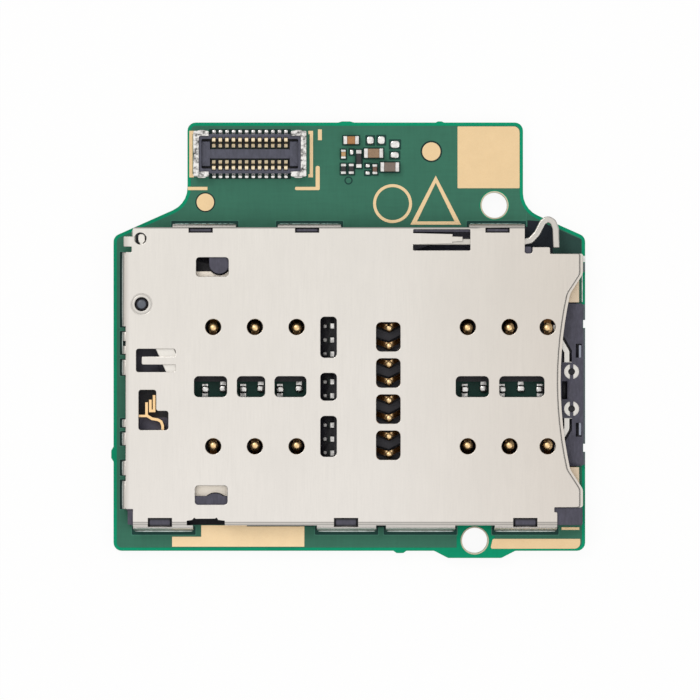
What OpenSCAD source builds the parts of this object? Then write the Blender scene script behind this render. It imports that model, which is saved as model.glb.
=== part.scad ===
// Card socket board: a small circuit board that carries a tray-type card reader with a steel shell,
// an eject rod and lever, a two-row board connector and a few chip parts.
// Millimetres. The origin is under the middle of the board, +X points out of the tray mouth, +Z up.

/* [Board] */
// Overall width of the board with its break-off nub
board_w = 28.96; // [28.7:0.02:29.6]
// Overall depth of the board with its lobe and nubs
board_d = 26.68; // [26.2:0.02:27.6]
// Thickness of the board
board_t = 0.8; // [0.6:0.05:1.2]
// Width of the upper part of the board
neck_w = 20.5; // [20:0.1:21.5]
// Place of the middle of the upper part
neck_x = 0.43; // [0.2:0.01:0.7]
// Height of the shoulder corners over the middle
shoulder_y = 6.3; // [6:0.05:6.8]
// Slope of the shoulders in degrees
shoulder_slope = 24; // [18:1:30]
// Radius where the upper part meets the shoulders
neck_fillet = 1.5; // [0.8:0.1:2]
// Radius of the outer corners of the board
board_corner = 0.5; // [0.2:0.05:0.8]
// Diameter of the two locating holes
hole_d = 1.55; // [1.2:0.05:1.8]
// Length of the flat of the lobe under the lower hole
lobe_w = 3.26; // [2.6:0.02:4]
// How far the lobe stands out of the lower edge
lobe_drop = 0.44; // [0.3:0.02:0.7]
// Thickness of the gold pads
pad_t = 0.03; // [0.02:0.005:0.06]

/* [Shell] */
// Length of the top plate from its rear edge to the mouth corners
shell_w = 27.76; // [27.4:0.02:28]
// Depth of the top plate across the tray
shell_d = 18.14; // [17.8:0.02:18.4]
// Height of the shell over the board
shell_h = 1.45; // [1.35:0.05:1.8]
// Thickness of the steel sheet
sheet_t = 0.15; // [0.1:0.01:0.2]
// Outer radius of the bends
bend_r = 0.2; // [0.18:0.01:0.26]
// How far the lower tabs lean out at their feet
foot_lean = 0.16; // [0:0.01:0.2]
// How far the mouth curve cuts into the plate
mouth_depth = 1.36; // [1.1:0.02:1.6]
// Diameter of the peep hole over each card contact
peep_d = 0.98; // [0.8:0.02:1.2]

/* [Insulator] */
// Thickness of the insulator's lower slab
slab_t = 0.3; // [0.25:0.01:0.35]
// Radius of the upper guide bump, the lower one is flatter
guide_r = 0.62; // [0.5:0.02:0.7]
// Depth of the mouth bar along the board edge
bar_d = 9.91; // [9.4:0.02:10.2]

/* [Card contacts] */
// Pitch of the card contacts along the tray
card_pitch = 2.54; // [2.46:0.01:2.6]
// Distance between the two rows of card contacts
card_row_gap = 7.26; // [7:0.02:7.5]
// Thickness of the contact springs
spring_t = 0.1; // [0.06:0.01:0.12]
// Width of a card spring
spring_w = 0.5; // [0.4:0.02:0.6]
// Width of a solder tail
tail_w = 0.34; // [0.26:0.02:0.4]
// Height of the contact crests over the board
crest_h = 1; // [0.8:0.02:1.1]
// Pitch of the memory contacts
memory_pitch = 1.1; // [1.06:0.01:1.14]
// Width of a memory spring
memory_w = 0.3; // [0.2:0.02:0.36]

/* [Eject gear] */
// Width of the push rod seen from above
rod_w = 0.4; // [0.3:0.01:0.42]
// Thickness of the push rod
rod_t = 0.3; // [0.2:0.01:0.34]
// Thickness of the lever
lever_t = 0.3; // [0.2:0.01:0.34]
// Diameter of the lever's post
post_d = 0.56; // [0.46:0.01:0.62]
// Width of the lever's rounded head
lever_head_w = 0.42; // [0.36:0.01:0.46]
// Clearance of parts that run on each other
running_gap = 0.05; // [0.03:0.005:0.07]

/* [Board connector] */
// Contact pitch of the board connector
pin_pitch = 0.4; // [0.36:0.01:0.42]
// Contacts in each row
pins_per_row = 12; // [8:1:13]
// Depth of the connector housing
connector_d = 2.4; // [2.3:0.02:2.6]
// Height of the connector housing
connector_h = 0.75; // [0.65:0.01:1]

/* [Chips] */
// Height of the larger chip parts
chip_h = 0.5; // [0.3:0.02:0.8]
// Length of a chip's metal end
chip_end = 0.24; // [0.15:0.01:0.3]

/* [Hidden] */
$fn = 48;
fit_gap = 0.03;
seat_gap = 0.06;

// Board edges
nub = 0.14;
board_x0 = -board_w / 2 + nub;
board_x1 = board_w / 2;
board_y0 = -board_d / 2 + lobe_drop;
neck_y = board_d / 2 - nub / 2;
neck_x0 = neck_x - neck_w / 2;
neck_x1 = neck_x + neck_w / 2;
lobe_run = 0.85;
lower_hole = [board_x1 - 6.75, board_y0 + 0.63];
top = board_t;

// Shell edges and levels
mouth_gap = 0.27;
mouth_x = board_x1 - mouth_gap;
shell_x0 = mouth_x - shell_w;
lower_margin = 1.6;
shell_y0 = board_y0 + lower_margin;
shell_y1 = shell_y0 + shell_d;
shell_top = top + shell_h;
ceiling = shell_top - sheet_t;
mark_line = shell_y1 + 0.3;
lip_set = 0.07;
lip_out = 0.08;
lip_t = sheet_t * 0.7;
upper_hole = [neck_x1 - 1.74, mark_line + 1.08];

// Tray slot
slot_y = (shell_y0 + shell_y1) / 2 - 0.32;
mouth_r = 24.8;
mouth_half = 6.55;
mouth_turn = 5.35;
slab_top = top + slab_t;
floor_top = slab_top + sheet_t;
rail_top = ceiling - fit_gap;
rail_y1 = shell_y1 - 1.79;
rail_y0 = shell_y0 + 1.77;
guide_1 = [shell_x0 + 5.7, rail_y1 - 0.42];
guide_0 = [shell_x0 + 5.45, rail_y0 - 0.63];
guide_r0 = 1.3 * guide_r;
floor_y1 = rail_y1 - 0.86;
floor_y0 = rail_y0 + 0.19;
floor_x0 = shell_x0 + 2.95;
floor_x1 = mouth_x - 0.11;
floor_strip = 1.64;
edge_notches = [slot_y + 3.52, slot_y - 4.06];
notch_w = 0.5;
notch_d = 0.12;
cut_x = shell_x0 + 3.72;
cut_w = 2.32;

// Insulator outline
base_x0 = shell_x0 + 0.05;
base_y0 = shell_y0;
base_y1 = shell_y1 - 0.09;
bar_x1 = board_x1 - 0.15;
bar_y0 = slot_y - bar_d / 2 - 0.2;
bar_y1 = bar_y0 + bar_d;
carrier_x0 = floor_x0 + 0.9;
carrier_x1 = mouth_x - mouth_depth - 0.5;
carrier_y0 = floor_y0 + floor_strip + seat_gap;
carrier_y1 = floor_y1 - floor_strip - seat_gap;
slab_x1 = floor_x1 - 0.2;
corner_x1 = mouth_x + 0.06;
corner_y1 = shell_y0 + 1.06;
rail_x0 = shell_x0 + 3.45;
rail_x1 = mouth_x - 3.51;
hook_y = shell_y1 - 1.61;

// Contact field
function shifted(list, by) = [for (i = [0:len(list) - 1]) list[i] + by[i]];
card_y = slot_y - 0.31;
card_a = [for (i = [0:2]) shell_x0 + 5.33 + i * card_pitch];
card_b = [for (i = [0:2]) mouth_x - 6.93 + i * card_pitch - (i > 1 ? 0.22 : 0)];
tails_a1 = shifted(card_a, [0.58, 0.34, 0.14]);
tails_a0 = shifted(card_a, [-0.52, -0.74, -1.03]);
tails_b1 = shifted(card_b, [0.98, 0.72, 0.46]);
tails_b0 = shifted(card_b, [-0.16, -0.43, -0.44]);
tail_bar = 0.3;
tail_start = -0.15;
root_h = 0.22;
pocket_floor = 0.06;
tip_ball = 0.36;
memory_ball = 0.26;
memory_x = shell_x0 + 16.04;
memory_y = slot_y - 0.58;
memory_mid = 3.5;
lead_x = memory_x - 3.61;
lead_pitch = 0.855;
lead_y = [slot_y + 2.53, slot_y - 0.45, slot_y - 3.52];
lead_h = 0.22;
lead_room = spring_t / 2 + fit_gap;

// Eject gear places
rod_y = shell_y1 - 0.88;
gear_top = ceiling - running_gap;
rod_z = gear_top - rod_t;
lever_z = gear_top - lever_t;
finger_x = mouth_x - 10.26;
finger_w = 3.49;
post = [shell_x0 + 0.97, shell_y1 - 4.68];
head_y = rod_y + 0.2;
lever_reach = head_y - post[1];
lever_lean = 24;
lever_low = 5;
head_half = 0.29;
fork_gap = 0.16;
fork_w = lever_head_w + 2 * fork_gap;
fork_end = head_y + head_half + 0.07;
bearing_d = post_d + 0.2;

// Board connector places
connector_x = neck_x0 + 3.82;
connector_y = neck_y - 1.93;
half_d = connector_d / 2;
pin_row = (pins_per_row - 1) * pin_pitch;
tongue_w = pin_row + 0.5;
connector_w = tongue_w + 1.6;
pin_w = 0.2;
pin_t = 0.08;
pin_room = pin_w / 2 + fit_gap;
pin_wall = 0.18;
clip_t = 0.06;
clip_z = top + connector_h + fit_gap;
chips_x = neck_x0 + 9.82;
clip_reach = 0.2;
// Board left free between the shell and the connector, which sets the size of the marks there
mark_room = connector_y - half_d - clip_reach - mark_line;
mark_y = mark_line + 0.714 * mark_room;
mark_w = mark_room / 14;

// Windows and tabs of the shell as pairs of edges
tail_windows = [
    [card_a[0] - 1.16, card_a[0] + 0.84], [card_a[1] - 1.09, card_a[1] + 0.62],
    [card_a[2] - 1.34, card_a[2] + 0.59], [card_b[0] - 0.73, card_b[0] + 1.28],
    [card_b[1] - 0.62, card_b[2] - 0.2]
];
tail_window_h = 1.26;
lead_windows = [
    [slot_y + 1.45, slot_y + 3.94], [slot_y - 1.16, slot_y + 0.52], [slot_y - 4.58, slot_y - 2.1]
];
lead_window_x = [lead_x - 0.57, lead_x + 0.42];
top_tabs = [
    [shell_x0 + 2.87, shell_x0 + 6.71], [shell_x0 + 9.27, shell_x0 + 13.11],
    [mouth_x - 6.84, mouth_x - 3.47]
];
bottom_tabs = [
    [shell_x0 + 0.46, shell_x0 + 4.09], [shell_x0 + 11.65, shell_x0 + 15.25],
    [shell_x0 + 15.85, shell_x0 + 20.06], [mouth_x - 5.29, mouth_x - 1.49]
];
rear_tabs = [
    [shell_y1 - 6.03, shell_y1 - 1.54], [shell_y1 - 6.92, shell_y1 - 6.37],
    [shell_y1 - 7.71, shell_y1 - 7.22], [shell_y1 - 8.99, shell_y1 - 8.07],
    [shell_y0 + 5.98, shell_y0 + 6.44], [shell_y0 + 4.88, shell_y0 + 5.64],
    [shell_y0 + 3.05, shell_y0 + 3.91], [shell_y0 + 1, shell_y0 + 2.69]
];
top_lugs = [shell_x0 + 4.57, shell_x0 + 11.05, mouth_x - 5.12];
bottom_lugs = [shell_x0 + 2.09, shell_x0 + 13.42, mouth_x - 3.43];
lug_w = 1.48;
lug_z = ceiling - 0.15;
lug_top = ceiling + 0.08;
lug_half = lug_w / 2 - 0.1;

// Outlines

function unit(v) = v / norm(v);
function xy(p) = [p[0], p[1]];
function back_order(list) = [for (i = [len(list) - 1:-1:0]) list[i]];
function arc(c, r, a, b, n) =
    [for (i = [0:n]) c + r * [cos(a + (b - a) * i / n), sin(a + (b - a) * i / n)]];

// Points that round the corner p between a and b
function corner(a, p, b, r, n = 5) =
    let (u = unit(a - p), v = unit(b - p), half = acos(max(-1, min(1, u * v))) / 2)
    r <= 0 || half > 89.5 ? [p] :
    let (c = p + unit(u + v) * r / sin(half),
         s = p + u * r / tan(half) - c,
         e = p + v * r / tan(half) - c,
         from = atan2(s[1], s[0]),
         turn = atan2(s[0] * e[1] - s[1] * e[0], s * e))
    arc(c, r, from, from + turn, n);

// Closed outline of [x, y, radius] points
function rounded(pts) =
    let (n = len(pts))
    [for (i = [0:n - 1])
        each corner(xy(pts[(i + n - 1) % n]), xy(pts[i]), xy(pts[(i + 1) % n]), pts[i][2])];

// Open path with its inner corners rounded
function softened(path, r) =
    let (n = len(path))
    concat([path[0]],
           [for (i = [1:n - 2]) each corner(path[i - 1], path[i], path[i + 1], r, 4)],
           [path[n - 1]]);

// One side of a strip that follows a path
function strip_side(path, d) =
    let (n = len(path))
    [for (i = [0:n - 1])
        let (a = unit(path[max(i, 1)] - path[max(i, 1) - 1]),
             b = unit(path[min(i, n - 2) + 1] - path[min(i, n - 2)]),
             m = unit(a + b))
        path[i] + [-m[1], m[0]] * d / max(0.4, m * a)];
function strip(path, w) =
    concat(strip_side(path, -w / 2), back_order(strip_side(path, w / 2)));

module slab(x0, x1, y0, y1, z0, z1)
    translate([x0, y0, z0]) cube([x1 - x0, y1 - y0, z1 - z0]);
module pane(x0, x1, y0, y1, r)
    polygon(rounded([[x0, y0, r], [x1, y0, r], [x1, y1, r], [x0, y1, r]]));
module raised(z0, z1)
    translate([0, 0, z0]) linear_extrude(z1 - z0) children();
// Side view drawn in x and z, as thick as w along y
module side_view(y, w)
    translate([0, y + w / 2, 0]) rotate([90, 0, 0]) linear_extrude(w) children();

// Circuit board

function shoulder_at(x, edge) = shoulder_y + abs(edge - x) * tan(shoulder_slope);
function board_outline() = rounded([
    [board_x0, board_y0, board_corner],
    [lower_hole[0] - lobe_w / 2 - lobe_run, board_y0, 0.3],
    [lower_hole[0] - lobe_w / 2, board_y0 - lobe_drop, 0.3],
    [lower_hole[0] + lobe_w / 2, board_y0 - lobe_drop, 0.3],
    [lower_hole[0] + lobe_w / 2 + lobe_run, board_y0, 0.3],
    [board_x1, board_y0, board_corner],
    [board_x1, shoulder_y, board_corner],
    [neck_x1, shoulder_at(neck_x1, board_x1), neck_fillet],
    [neck_x1, neck_y, board_corner],
    [neck_x0, neck_y, board_corner],
    [neck_x0, shoulder_at(neck_x0, board_x0), neck_fillet],
    [board_x0, shoulder_y, board_corner]]);

module break_nub(w, reach)
    polygon([[-w / 2, -nub], [w / 2, -nub], [w / 2, 0], [w / 4, reach], [-w / 4, reach], [-w / 2, 0]]);

module circuit_board()
    color("seagreen") linear_extrude(board_t) difference() {
        union() {
            polygon(board_outline());
            translate([-0.13, neck_y]) break_nub(0.98, nub / 2);
            translate([5.6, neck_y]) break_nub(0.5, nub / 2);
            translate([3.16, board_y0]) rotate(180) break_nub(0.8, nub);
            translate([board_x0, -7]) rotate(90) break_nub(0.92, nub);
        }
        for (h = [lower_hole, upper_hole]) translate(h) circle(d = hole_d);
        for (y = edge_notches)
            translate([board_x1, y]) square([2 * notch_d, notch_w], center = true);
    }

// Gold pads

module ring_mark(r, w) difference() {
    circle(r);
    circle(r - w);
}
module bracket(h, w, foot) {
    square([w, h], center = true);
    for (s = [-1, 1]) translate([foot / 2, s * (h - w) / 2]) square([w + foot, w], center = true);
}
module triangle_mark(w, h, stroke) difference() {
    polygon([[-w / 2, 0], [w / 2, 0], [0, h]]);
    translate([0, stroke])
        polygon([[-w / 2 + 2 * stroke, 0], [w / 2 - 2 * stroke, 0], [0, h - 3.2 * stroke]]);
}
square_y = upper_hole[1] + hole_d / 2 + 0.26;
module gold_pads()
    color("wheat") raised(top, top + pad_t) {
        polygon(rounded([
            [neck_x1 - 4, square_y, 0.05], [neck_x1 - 0.21, square_y, 0.05],
            [neck_x1 - 0.21, neck_y - 0.24, 0.35], [neck_x1 - 4, neck_y - 0.24, 0.05]]));
        translate([neck_x0 + 1.09, mark_line + 0.45 * mark_room]) circle(0.19 * mark_room);
        translate([neck_x1 - 5.6, neck_y - 1.77]) circle(0.56);
        translate([neck_x0 + 0.62, mark_y + mark_w / 2]) square([1.2, mark_w], center = true);
        translate([connector_x, mark_y])
            polygon(rounded([
                [2.75, 0, 0.4 * mark_w], [4.26, 0, 0.4 * mark_w], [4.26, 1.48, 0.1], [4.01, 1.48, 0.1],
                [4.01, mark_w, 0], [2.75, mark_w, 0.4 * mark_w]]));
        translate([connector_x + 4.27, neck_y - 0.75]) square([0.24, 0.66], center = true);
        translate([connector_x - connector_w / 2 - 0.36, connector_y]) bracket(2.84, 0.2, 0.08);
        translate([connector_x + connector_w / 2 + 0.5, connector_y])
            mirror([1, 0]) bracket(2.84, 0.2, 0.08);
        translate([neck_x1 - 7.97, mark_line + 0.42 * mark_room])
            ring_mark(0.425 * mark_room, 0.9 * mark_w);
        translate([neck_x1 - 5.33, mark_line - 0.04 * mark_room])
            triangle_mark(1.107 * mark_room, 1.071 * mark_room, mark_w);
        polygon([
            [shell_x0 + 2.79, board_y0 + 0.25], [shell_x0 + 10.87, board_y0 + 0.25],
            [shell_x0 + 10.87, shell_y0 - 0.04], [shell_x0 + 4.57, shell_y0 - 0.04],
            [shell_x0 + 4.57, board_y0 + 0.86], [shell_x0 + 2.79, board_y0 + 0.86]]);
        polygon(rounded([
            [lower_hole[0] + 0.96, board_y0 + 0.13, 0.1], [board_x1 - 0.3, board_y0 + 0.13, 0.35],
            [board_x1 - 0.3, board_y0 + 0.73, 0.05], [lower_hole[0] + 1.1, board_y0 + 0.73, 0.1]]));
        translate([board_x1 - 0.9, board_y0 + 1.36]) square([1.08, 0.16], center = true);
    }

// Reader shell

function mouth_edge(dy) = mouth_x - mouth_depth + mouth_r - sqrt(mouth_r * mouth_r - dy * dy);
function mouth_curve(set_back) = concat(
    [[mouth_x - set_back, slot_y - mouth_half, 0.5],
     [mouth_edge(mouth_turn) - set_back, slot_y - mouth_turn, 0.9]],
    [for (i = [-5:5]) let (dy = i * 0.9) [mouth_edge(dy) - set_back, slot_y + dy, 0]],
    [[mouth_edge(mouth_turn) - set_back, slot_y + mouth_turn, 0.9],
     [mouth_x - set_back, slot_y + mouth_half, 0.5]]);
function plate_outline(set_back) = rounded(concat(
    [[shell_x0 + 0.45, shell_y0, 0], [mouth_x - 1.49, shell_y0, 0.05],
     [mouth_x - 1.49, corner_y1 - 0.25, 0.05], [mouth_x - 1.66, corner_y1 - 0.25, 0.05],
     [mouth_x - 1.66, corner_y1 + 0.03, 0.05], [mouth_x - set_back, corner_y1 + 0.03, 0.15]],
    mouth_curve(set_back),
    [[mouth_x - set_back, hook_y, 0.1], [mouth_x - 1.92, hook_y, 0.05],
     [mouth_x - 1.92, hook_y + 0.4, 0.1], [mouth_x - 2.99, hook_y + 0.4, 0.05],
     [mouth_x - 2.99, hook_y + 0.02, 0.15], [mouth_x - 3.47, hook_y + 0.02, 0.15],
     [mouth_x - 3.47, shell_y1, 0],
     [shell_x0 + 0.45, shell_y1, 0.1], [shell_x0 + 0.45, shell_y1 - 0.56, 0],
     [shell_x0 - 0.12, shell_y1 - 0.56, 0.06], [shell_x0 - 0.12, shell_y1 - 1.18, 0.06],
     [shell_x0 + 0.37, shell_y1 - 1.18, 0.05], [shell_x0 + 0.37, shell_y1 - 1.51, 0.05],
     [shell_x0, shell_y1 - 1.51, 0.05], [shell_x0, shell_y0 + 0.98, 0.05],
     [shell_x0 + 0.45, shell_y0 + 0.98, 0.05]]));

module shell_windows() {
    // Peep holes over the card contacts
    for (x = concat(card_a, card_b), s = [-1, 1])
        translate([x, card_y + s * card_row_gap / 2]) circle(d = peep_d);
    // Windows over the solder tails
    for (w = tail_windows)
        pane(w[0], w[1], card_y - tail_window_h / 2, card_y + tail_window_h / 2, 0.27);
    for (w = lead_windows) pane(lead_window_x[0], lead_window_x[1], w[0], w[1], 0.25);
    // Windows over the memory contacts
    for (i = [0:3]) translate([memory_x - 0.05, memory_y + (i - 1.5) * 2 * memory_pitch])
        pane(-0.74, 0.74, -0.89, 0.89, 0.3);
    // Windows over the guide bumps
    translate(guide_1) pane(-1.41, 0.57, -0.79, 0.38, 0.2);
    translate(guide_0) pane(-1.23, 0.75, 0.11, 1.28, 0.2);
    // Lever and post holes
    translate([post[0] - 0.07, head_y]) circle(0.37);
    translate(post) circle(0.42);
    // Tongue over the lever
    translate(post) difference() {
        pane(-0.33, 2.07, -4.13, -2.72, 0.15);
        pane(0.01, 2.58, -3.68, -3.19, 0.1);
    }
    // Window over the tray switch
    translate(post) polygon(rounded([
        [-0.18, -7.66, 0.15], [1.63, -7.66, 0.15], [1.63, -6.5, 0.15],
        [0.89, -6.5, 0.15], [0.89, -5.22, 0.15], [-0.18, -5.22, 0.15]]));
    // Finger over the rod
    translate([finger_x, rod_y]) difference() {
        pane(0, finger_w, -0.53, 0.77, 0.08);
        polygon([
            [-1, -0.16], [0, -0.16], [2.4, -0.1], [2.4, 0.01], [3.02, 0.03],
            [3.02, 0.31], [2.4, 0.33], [2.4, 0.46], [0, 0.52], [-1, 0.52]]);
    }
    // Notch in the lower edge
    translate([cut_x, shell_y0])
        polygon([
            [0, -0.1], [cut_w, -0.1], [cut_w, 0.28], [cut_w - 0.4, 0.33], [cut_w - 0.49, 0.47],
            [cut_w - 0.62, 0.41], [0.56, 0.4], [0.45, 0.47], [0.33, 0.33], [0, 0.28]]);
}

// Bent tab: u runs out from the plate edge, z up
function tab_section(lean) =
    let (c = [0, shell_top - bend_r], foot = bend_r + lean)
    concat(arc(c, bend_r, 90, 0, 6), [[foot, top], [foot - sheet_t, top]],
           arc(c, bend_r - sheet_t, 0, 90, 6));
module tab(a, b, lean = 0)
    translate([0, b, 0]) rotate([90, 0, 0]) linear_extrude(b - a) polygon(tab_section(lean));

module shell_tabs() {
    for (t = rear_tabs) translate([shell_x0, 0, 0]) mirror([1, 0, 0]) tab(t[0], t[1]);
    for (t = top_tabs) translate([0, shell_y1, 0]) rotate(90) tab(-t[1], -t[0]);
    for (t = bottom_tabs) translate([0, shell_y0, 0]) rotate(-90) tab(t[0], t[1], foot_lean);
}

module reader_shell()
    color("gainsboro") difference() {
        union() {
            raised(ceiling, shell_top - lip_t) difference() {
                polygon(plate_outline(-lip_out));
                shell_windows();
            }
            raised(shell_top - lip_t, shell_top) difference() {
                polygon(plate_outline(lip_set));
                shell_windows();
            }
            shell_tabs();
        }
        // Bend windows
        for (x = top_lugs)
            slab(x - lug_w / 2, x + lug_w / 2, shell_y1 - 0.33, shell_y1 - 0.03, lug_z, shell_top + 1);
        for (x = bottom_lugs)
            slab(x - lug_w / 2, x + lug_w / 2, shell_y0 - 0.1, shell_y0 + 0.45, lug_z, shell_top + 1);
        // Coined ring round the post hole
        raised(shell_top - 0.04, shell_top + 1) translate(post) ring_mark(0.65, 0.1);
    }

// Contact base

function memory_tip(i) = memory_y + (memory_mid - i) * memory_pitch;
function lead_tail(i) =
    i < 3 ? lead_y[0] + (1 - i) * lead_pitch :
    i < 5 ? lead_y[1] + (3.5 - i) * lead_pitch : lead_y[2] + (6 - i) * lead_pitch;
function memory_path(i) =
    let (y = memory_tip(i))
    [[memory_x - 1.49, y + 0.5], [memory_x, y], [memory_x + 1.01, y + 0.52]];
function lead_path(i) =
    let (y = memory_tip(i), t = lead_tail(i))
    [[lead_x, t], [lead_x + 0.72, t], [memory_x - 1.99, y + 0.5], [memory_x - 1.29, y + 0.5]];

module base_outline()
    polygon(rounded([
        [base_x0, base_y0, 0.1], [corner_x1, base_y0, 0.15], [corner_x1, corner_y1, 0.15],
        [slab_x1, corner_y1, 0], [slab_x1, bar_y0, 0], [bar_x1, bar_y0, 0.1],
        [bar_x1, bar_y1, 0.1], [slab_x1, bar_y1, 0], [slab_x1, hook_y - 0.1, 0],
        [rail_x1, hook_y - 0.1, 0], [rail_x1, base_y1, 0.1], [base_x0 + 0.45, base_y1, 0.1],
        [base_x0 + 0.45, shell_y1 - 1.6, 0.1], [base_x0, shell_y1 - 1.6, 0.1]]));

module rails() {
    raised(top, rail_top) {
        pane(rail_x0, rail_x1, rail_y1, base_y1, 0.1);
        translate(guide_1) circle(guide_r);
        translate(guide_1) pane(-guide_r, guide_r, 0, rail_y1 - guide_1[1] + 0.1, 0);
        difference() {
            union() {
                pane(base_x0, corner_x1, base_y0, rail_y0, 0.1);
                translate(guide_0) circle(guide_r0);
            }
            pane(mouth_x - 1.5, corner_x1 + 1, corner_y1, rail_y0 + 1, 0);
        }
        pane(base_x0, base_x0 + 0.25, rail_y0 - 0.2, shell_y1 - 1.6, 0.05);
        // Stub under the bend of the rod
        pane(rail_x1 - 0.1, rail_x1 + 0.48, hook_y - 0.1, hook_y + 0.44, 0.12);
    }
    for (x = top_lugs)
        slab(x - lug_half, x + lug_half, base_y1 - 0.2, base_y1, rail_top - 0.1, lug_top);
    for (x = bottom_lugs)
        slab(x - lug_half, x + lug_half, base_y0 - 0.06, base_y0 + 0.41, rail_top - 0.1, lug_top);
}

module post_and_collar()
    translate([post[0], post[1], top]) {
        cylinder(d = post_d + 0.6, h = lever_z - running_gap - top);
        cylinder(d = bearing_d, h = gear_top - top);
        cylinder(d = post_d, h = shell_top - sheet_t / 3 - top);
    }

module card_slots(xs, tails1, tails0) {
    for (i = [0:2], s = [-1, 1]) let (tail_x = s > 0 ? tails1[i] : tails0[i]) {
        translate([xs[i], card_y, top + pocket_floor])
            linear_extrude(3) mirror([0, s > 0 ? 0 : 1])
                pane(-spring_w / 2 - 0.12, spring_w / 2 + 0.12, 1.5, card_row_gap / 2 + 0.65, 0.1);
        translate([0, card_y, top - 1])
            linear_extrude(1 + root_h + spring_t / 2 + fit_gap) mirror([0, s > 0 ? 0 : 1])
                card_plan(xs[i], tail_x, fit_gap, 2);
    }
}

module carrier_plan(grow, end_x) {
    pane(carrier_x0 - grow, carrier_x1 + grow, carrier_y0 - grow, carrier_y1 + grow, 0.1);
    pane(carrier_x1 - 0.3 - grow, end_x, bar_y0 - grow, bar_y1 + grow, 0.1);
}

module contact_base()
    color("dimgray") difference() {
        union() {
            raised(top, slab_top) base_outline();
            raised(top, floor_top) carrier_plan(0, bar_x1);
            rails();
            post_and_collar();
        }
        // Channel of the push rod
        slab(rail_x0 - 1, rail_x1 + 1, rod_y - rod_w / 2 - running_gap, rod_y + rod_w / 2 + running_gap,
            rod_z - running_gap, ceiling + 1);
        // Lower left corner, left free beside the rear tabs
        slab(base_x0 - 1, base_x0 + 0.27, base_y0 - 1, shell_y0 + 0.9, 0, ceiling + 1);
        // Room behind the notch of the lower edge
        slab(cut_x, cut_x + cut_w, base_y0 - 1, base_y0 + 0.6, slab_top, ceiling + 1);
        // Room under the finger
        slab(finger_x, finger_x + finger_w, rod_y - 0.53, rod_y + 0.6, top + 0.5, ceiling + 1);
        // Openings down to the board at the solder tails
        for (w = tail_windows)
            slab(w[0], w[1], card_y - tail_window_h / 2, card_y + tail_bar, top - 1, ceiling);
        // Pockets round the memory leads
        for (w = lead_windows)
            slab(lead_window_x[0], lead_x + 0.26, w[0], w[1], top + lead_h - lead_room, ceiling);
        for (i = [0:7]) {
            raised(top + lead_h - lead_room, top + lead_h + lead_room)
                polygon(strip(lead_path(i), memory_w + 2 * fit_gap));
            raised(top - 1, top + lead_h) translate([lead_x, lead_tail(i)])
                square([2 * lead_room, memory_w + 2 * fit_gap], center = true);
            raised(top + pocket_floor, ceiling) polygon(strip(memory_path(i), memory_w + 0.26));
        }
        card_slots(card_a, tails_a1, tails_a0);
        card_slots(card_b, tails_b1, tails_b0);
        // Pocket of the mouth spring
        raised(mouth_spring_z - fit_gap, mouth_spring_z + spring_t + fit_gap) mouth_plan(fit_gap);
        raised(mouth_spring_z, ceiling) mouth_openings();
        raised(top + 0.1, ceiling) mouth_slot();
    }

// Floor plate

module floor_plate()
    color("silver") raised(slab_top, floor_top) difference() {
        pane(floor_x0, floor_x1, floor_y0, floor_y1, 0.15);
        carrier_plan(seat_gap, floor_x1 + 1);
        translate(guide_0) circle(guide_r0 + seat_gap);
        translate(guide_1) circle(guide_r + seat_gap);
    }

// Mouth spring

ring_x = mouth_x - 0.57;
ring_half = 1.135;
mouth_mid = slot_y - 0.535;
arm_x = mouth_x - 0.86;
arm_w = 0.3;
mouth_spring_z = floor_top - 0.15 - spring_t;
function arm_path(s) = [
    [arm_x, mouth_mid + s * 1.2], [arm_x, mouth_mid + s * 2.35],
    [arm_x - 0.55, mouth_mid + s * 3.3], [arm_x - 0.7, mouth_mid + s * 4]];
module ring_spots() for (s = [-1, 1]) translate([ring_x, mouth_mid + s * ring_half]) children();
module mouth_slot() translate([arm_x - 0.14, mouth_mid]) square([0.34, 1.1], center = true);
module mouth_plan(grow)
    difference() {
        union() {
            translate([ring_x + 0.05, mouth_mid])
                pane(-0.54 - grow, 0.42 + grow, -ring_half - 0.6 - grow, ring_half + 0.6 + grow, 0.1);
            translate([mouth_x - 0.05, mouth_mid])
                pane(-0.07 - grow, 0.07 + grow, -2.75 - grow, 2.75 + grow, 0.05);
            for (s = [-1, 1]) polygon(strip(softened(arm_path(s), 0.3), arm_w + 2 * grow));
        }
        ring_spots() circle(0.21 - grow);
        translate([arm_x - 0.2, mouth_mid]) square([0.56 - 2 * grow, 1.2 - 2 * grow], center = true);
    }
module mouth_openings() {
    // Ring gaps round the rivets, bridged above and below
    ring_spots() difference() {
        circle(0.46);
        square([0.2, 2], center = true);
    }
    ring_spots() circle(0.21);
    // Channels of the two arms and the recesses at the edge
    for (s = [-1, 1]) {
        difference() {
            polygon(strip(arm_path(s), 2 * arm_w));
            translate([arm_x, mouth_mid]) square([2, 3.4], center = true);
        }
        translate([mouth_x - 0.14, mouth_mid + s * 2.41]) square([0.36, 0.85], center = true);
    }
}
module mouth_spring()
    color("lightgray") raised(mouth_spring_z, mouth_spring_z + spring_t) mouth_plan(0);

// Eject gear

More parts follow.
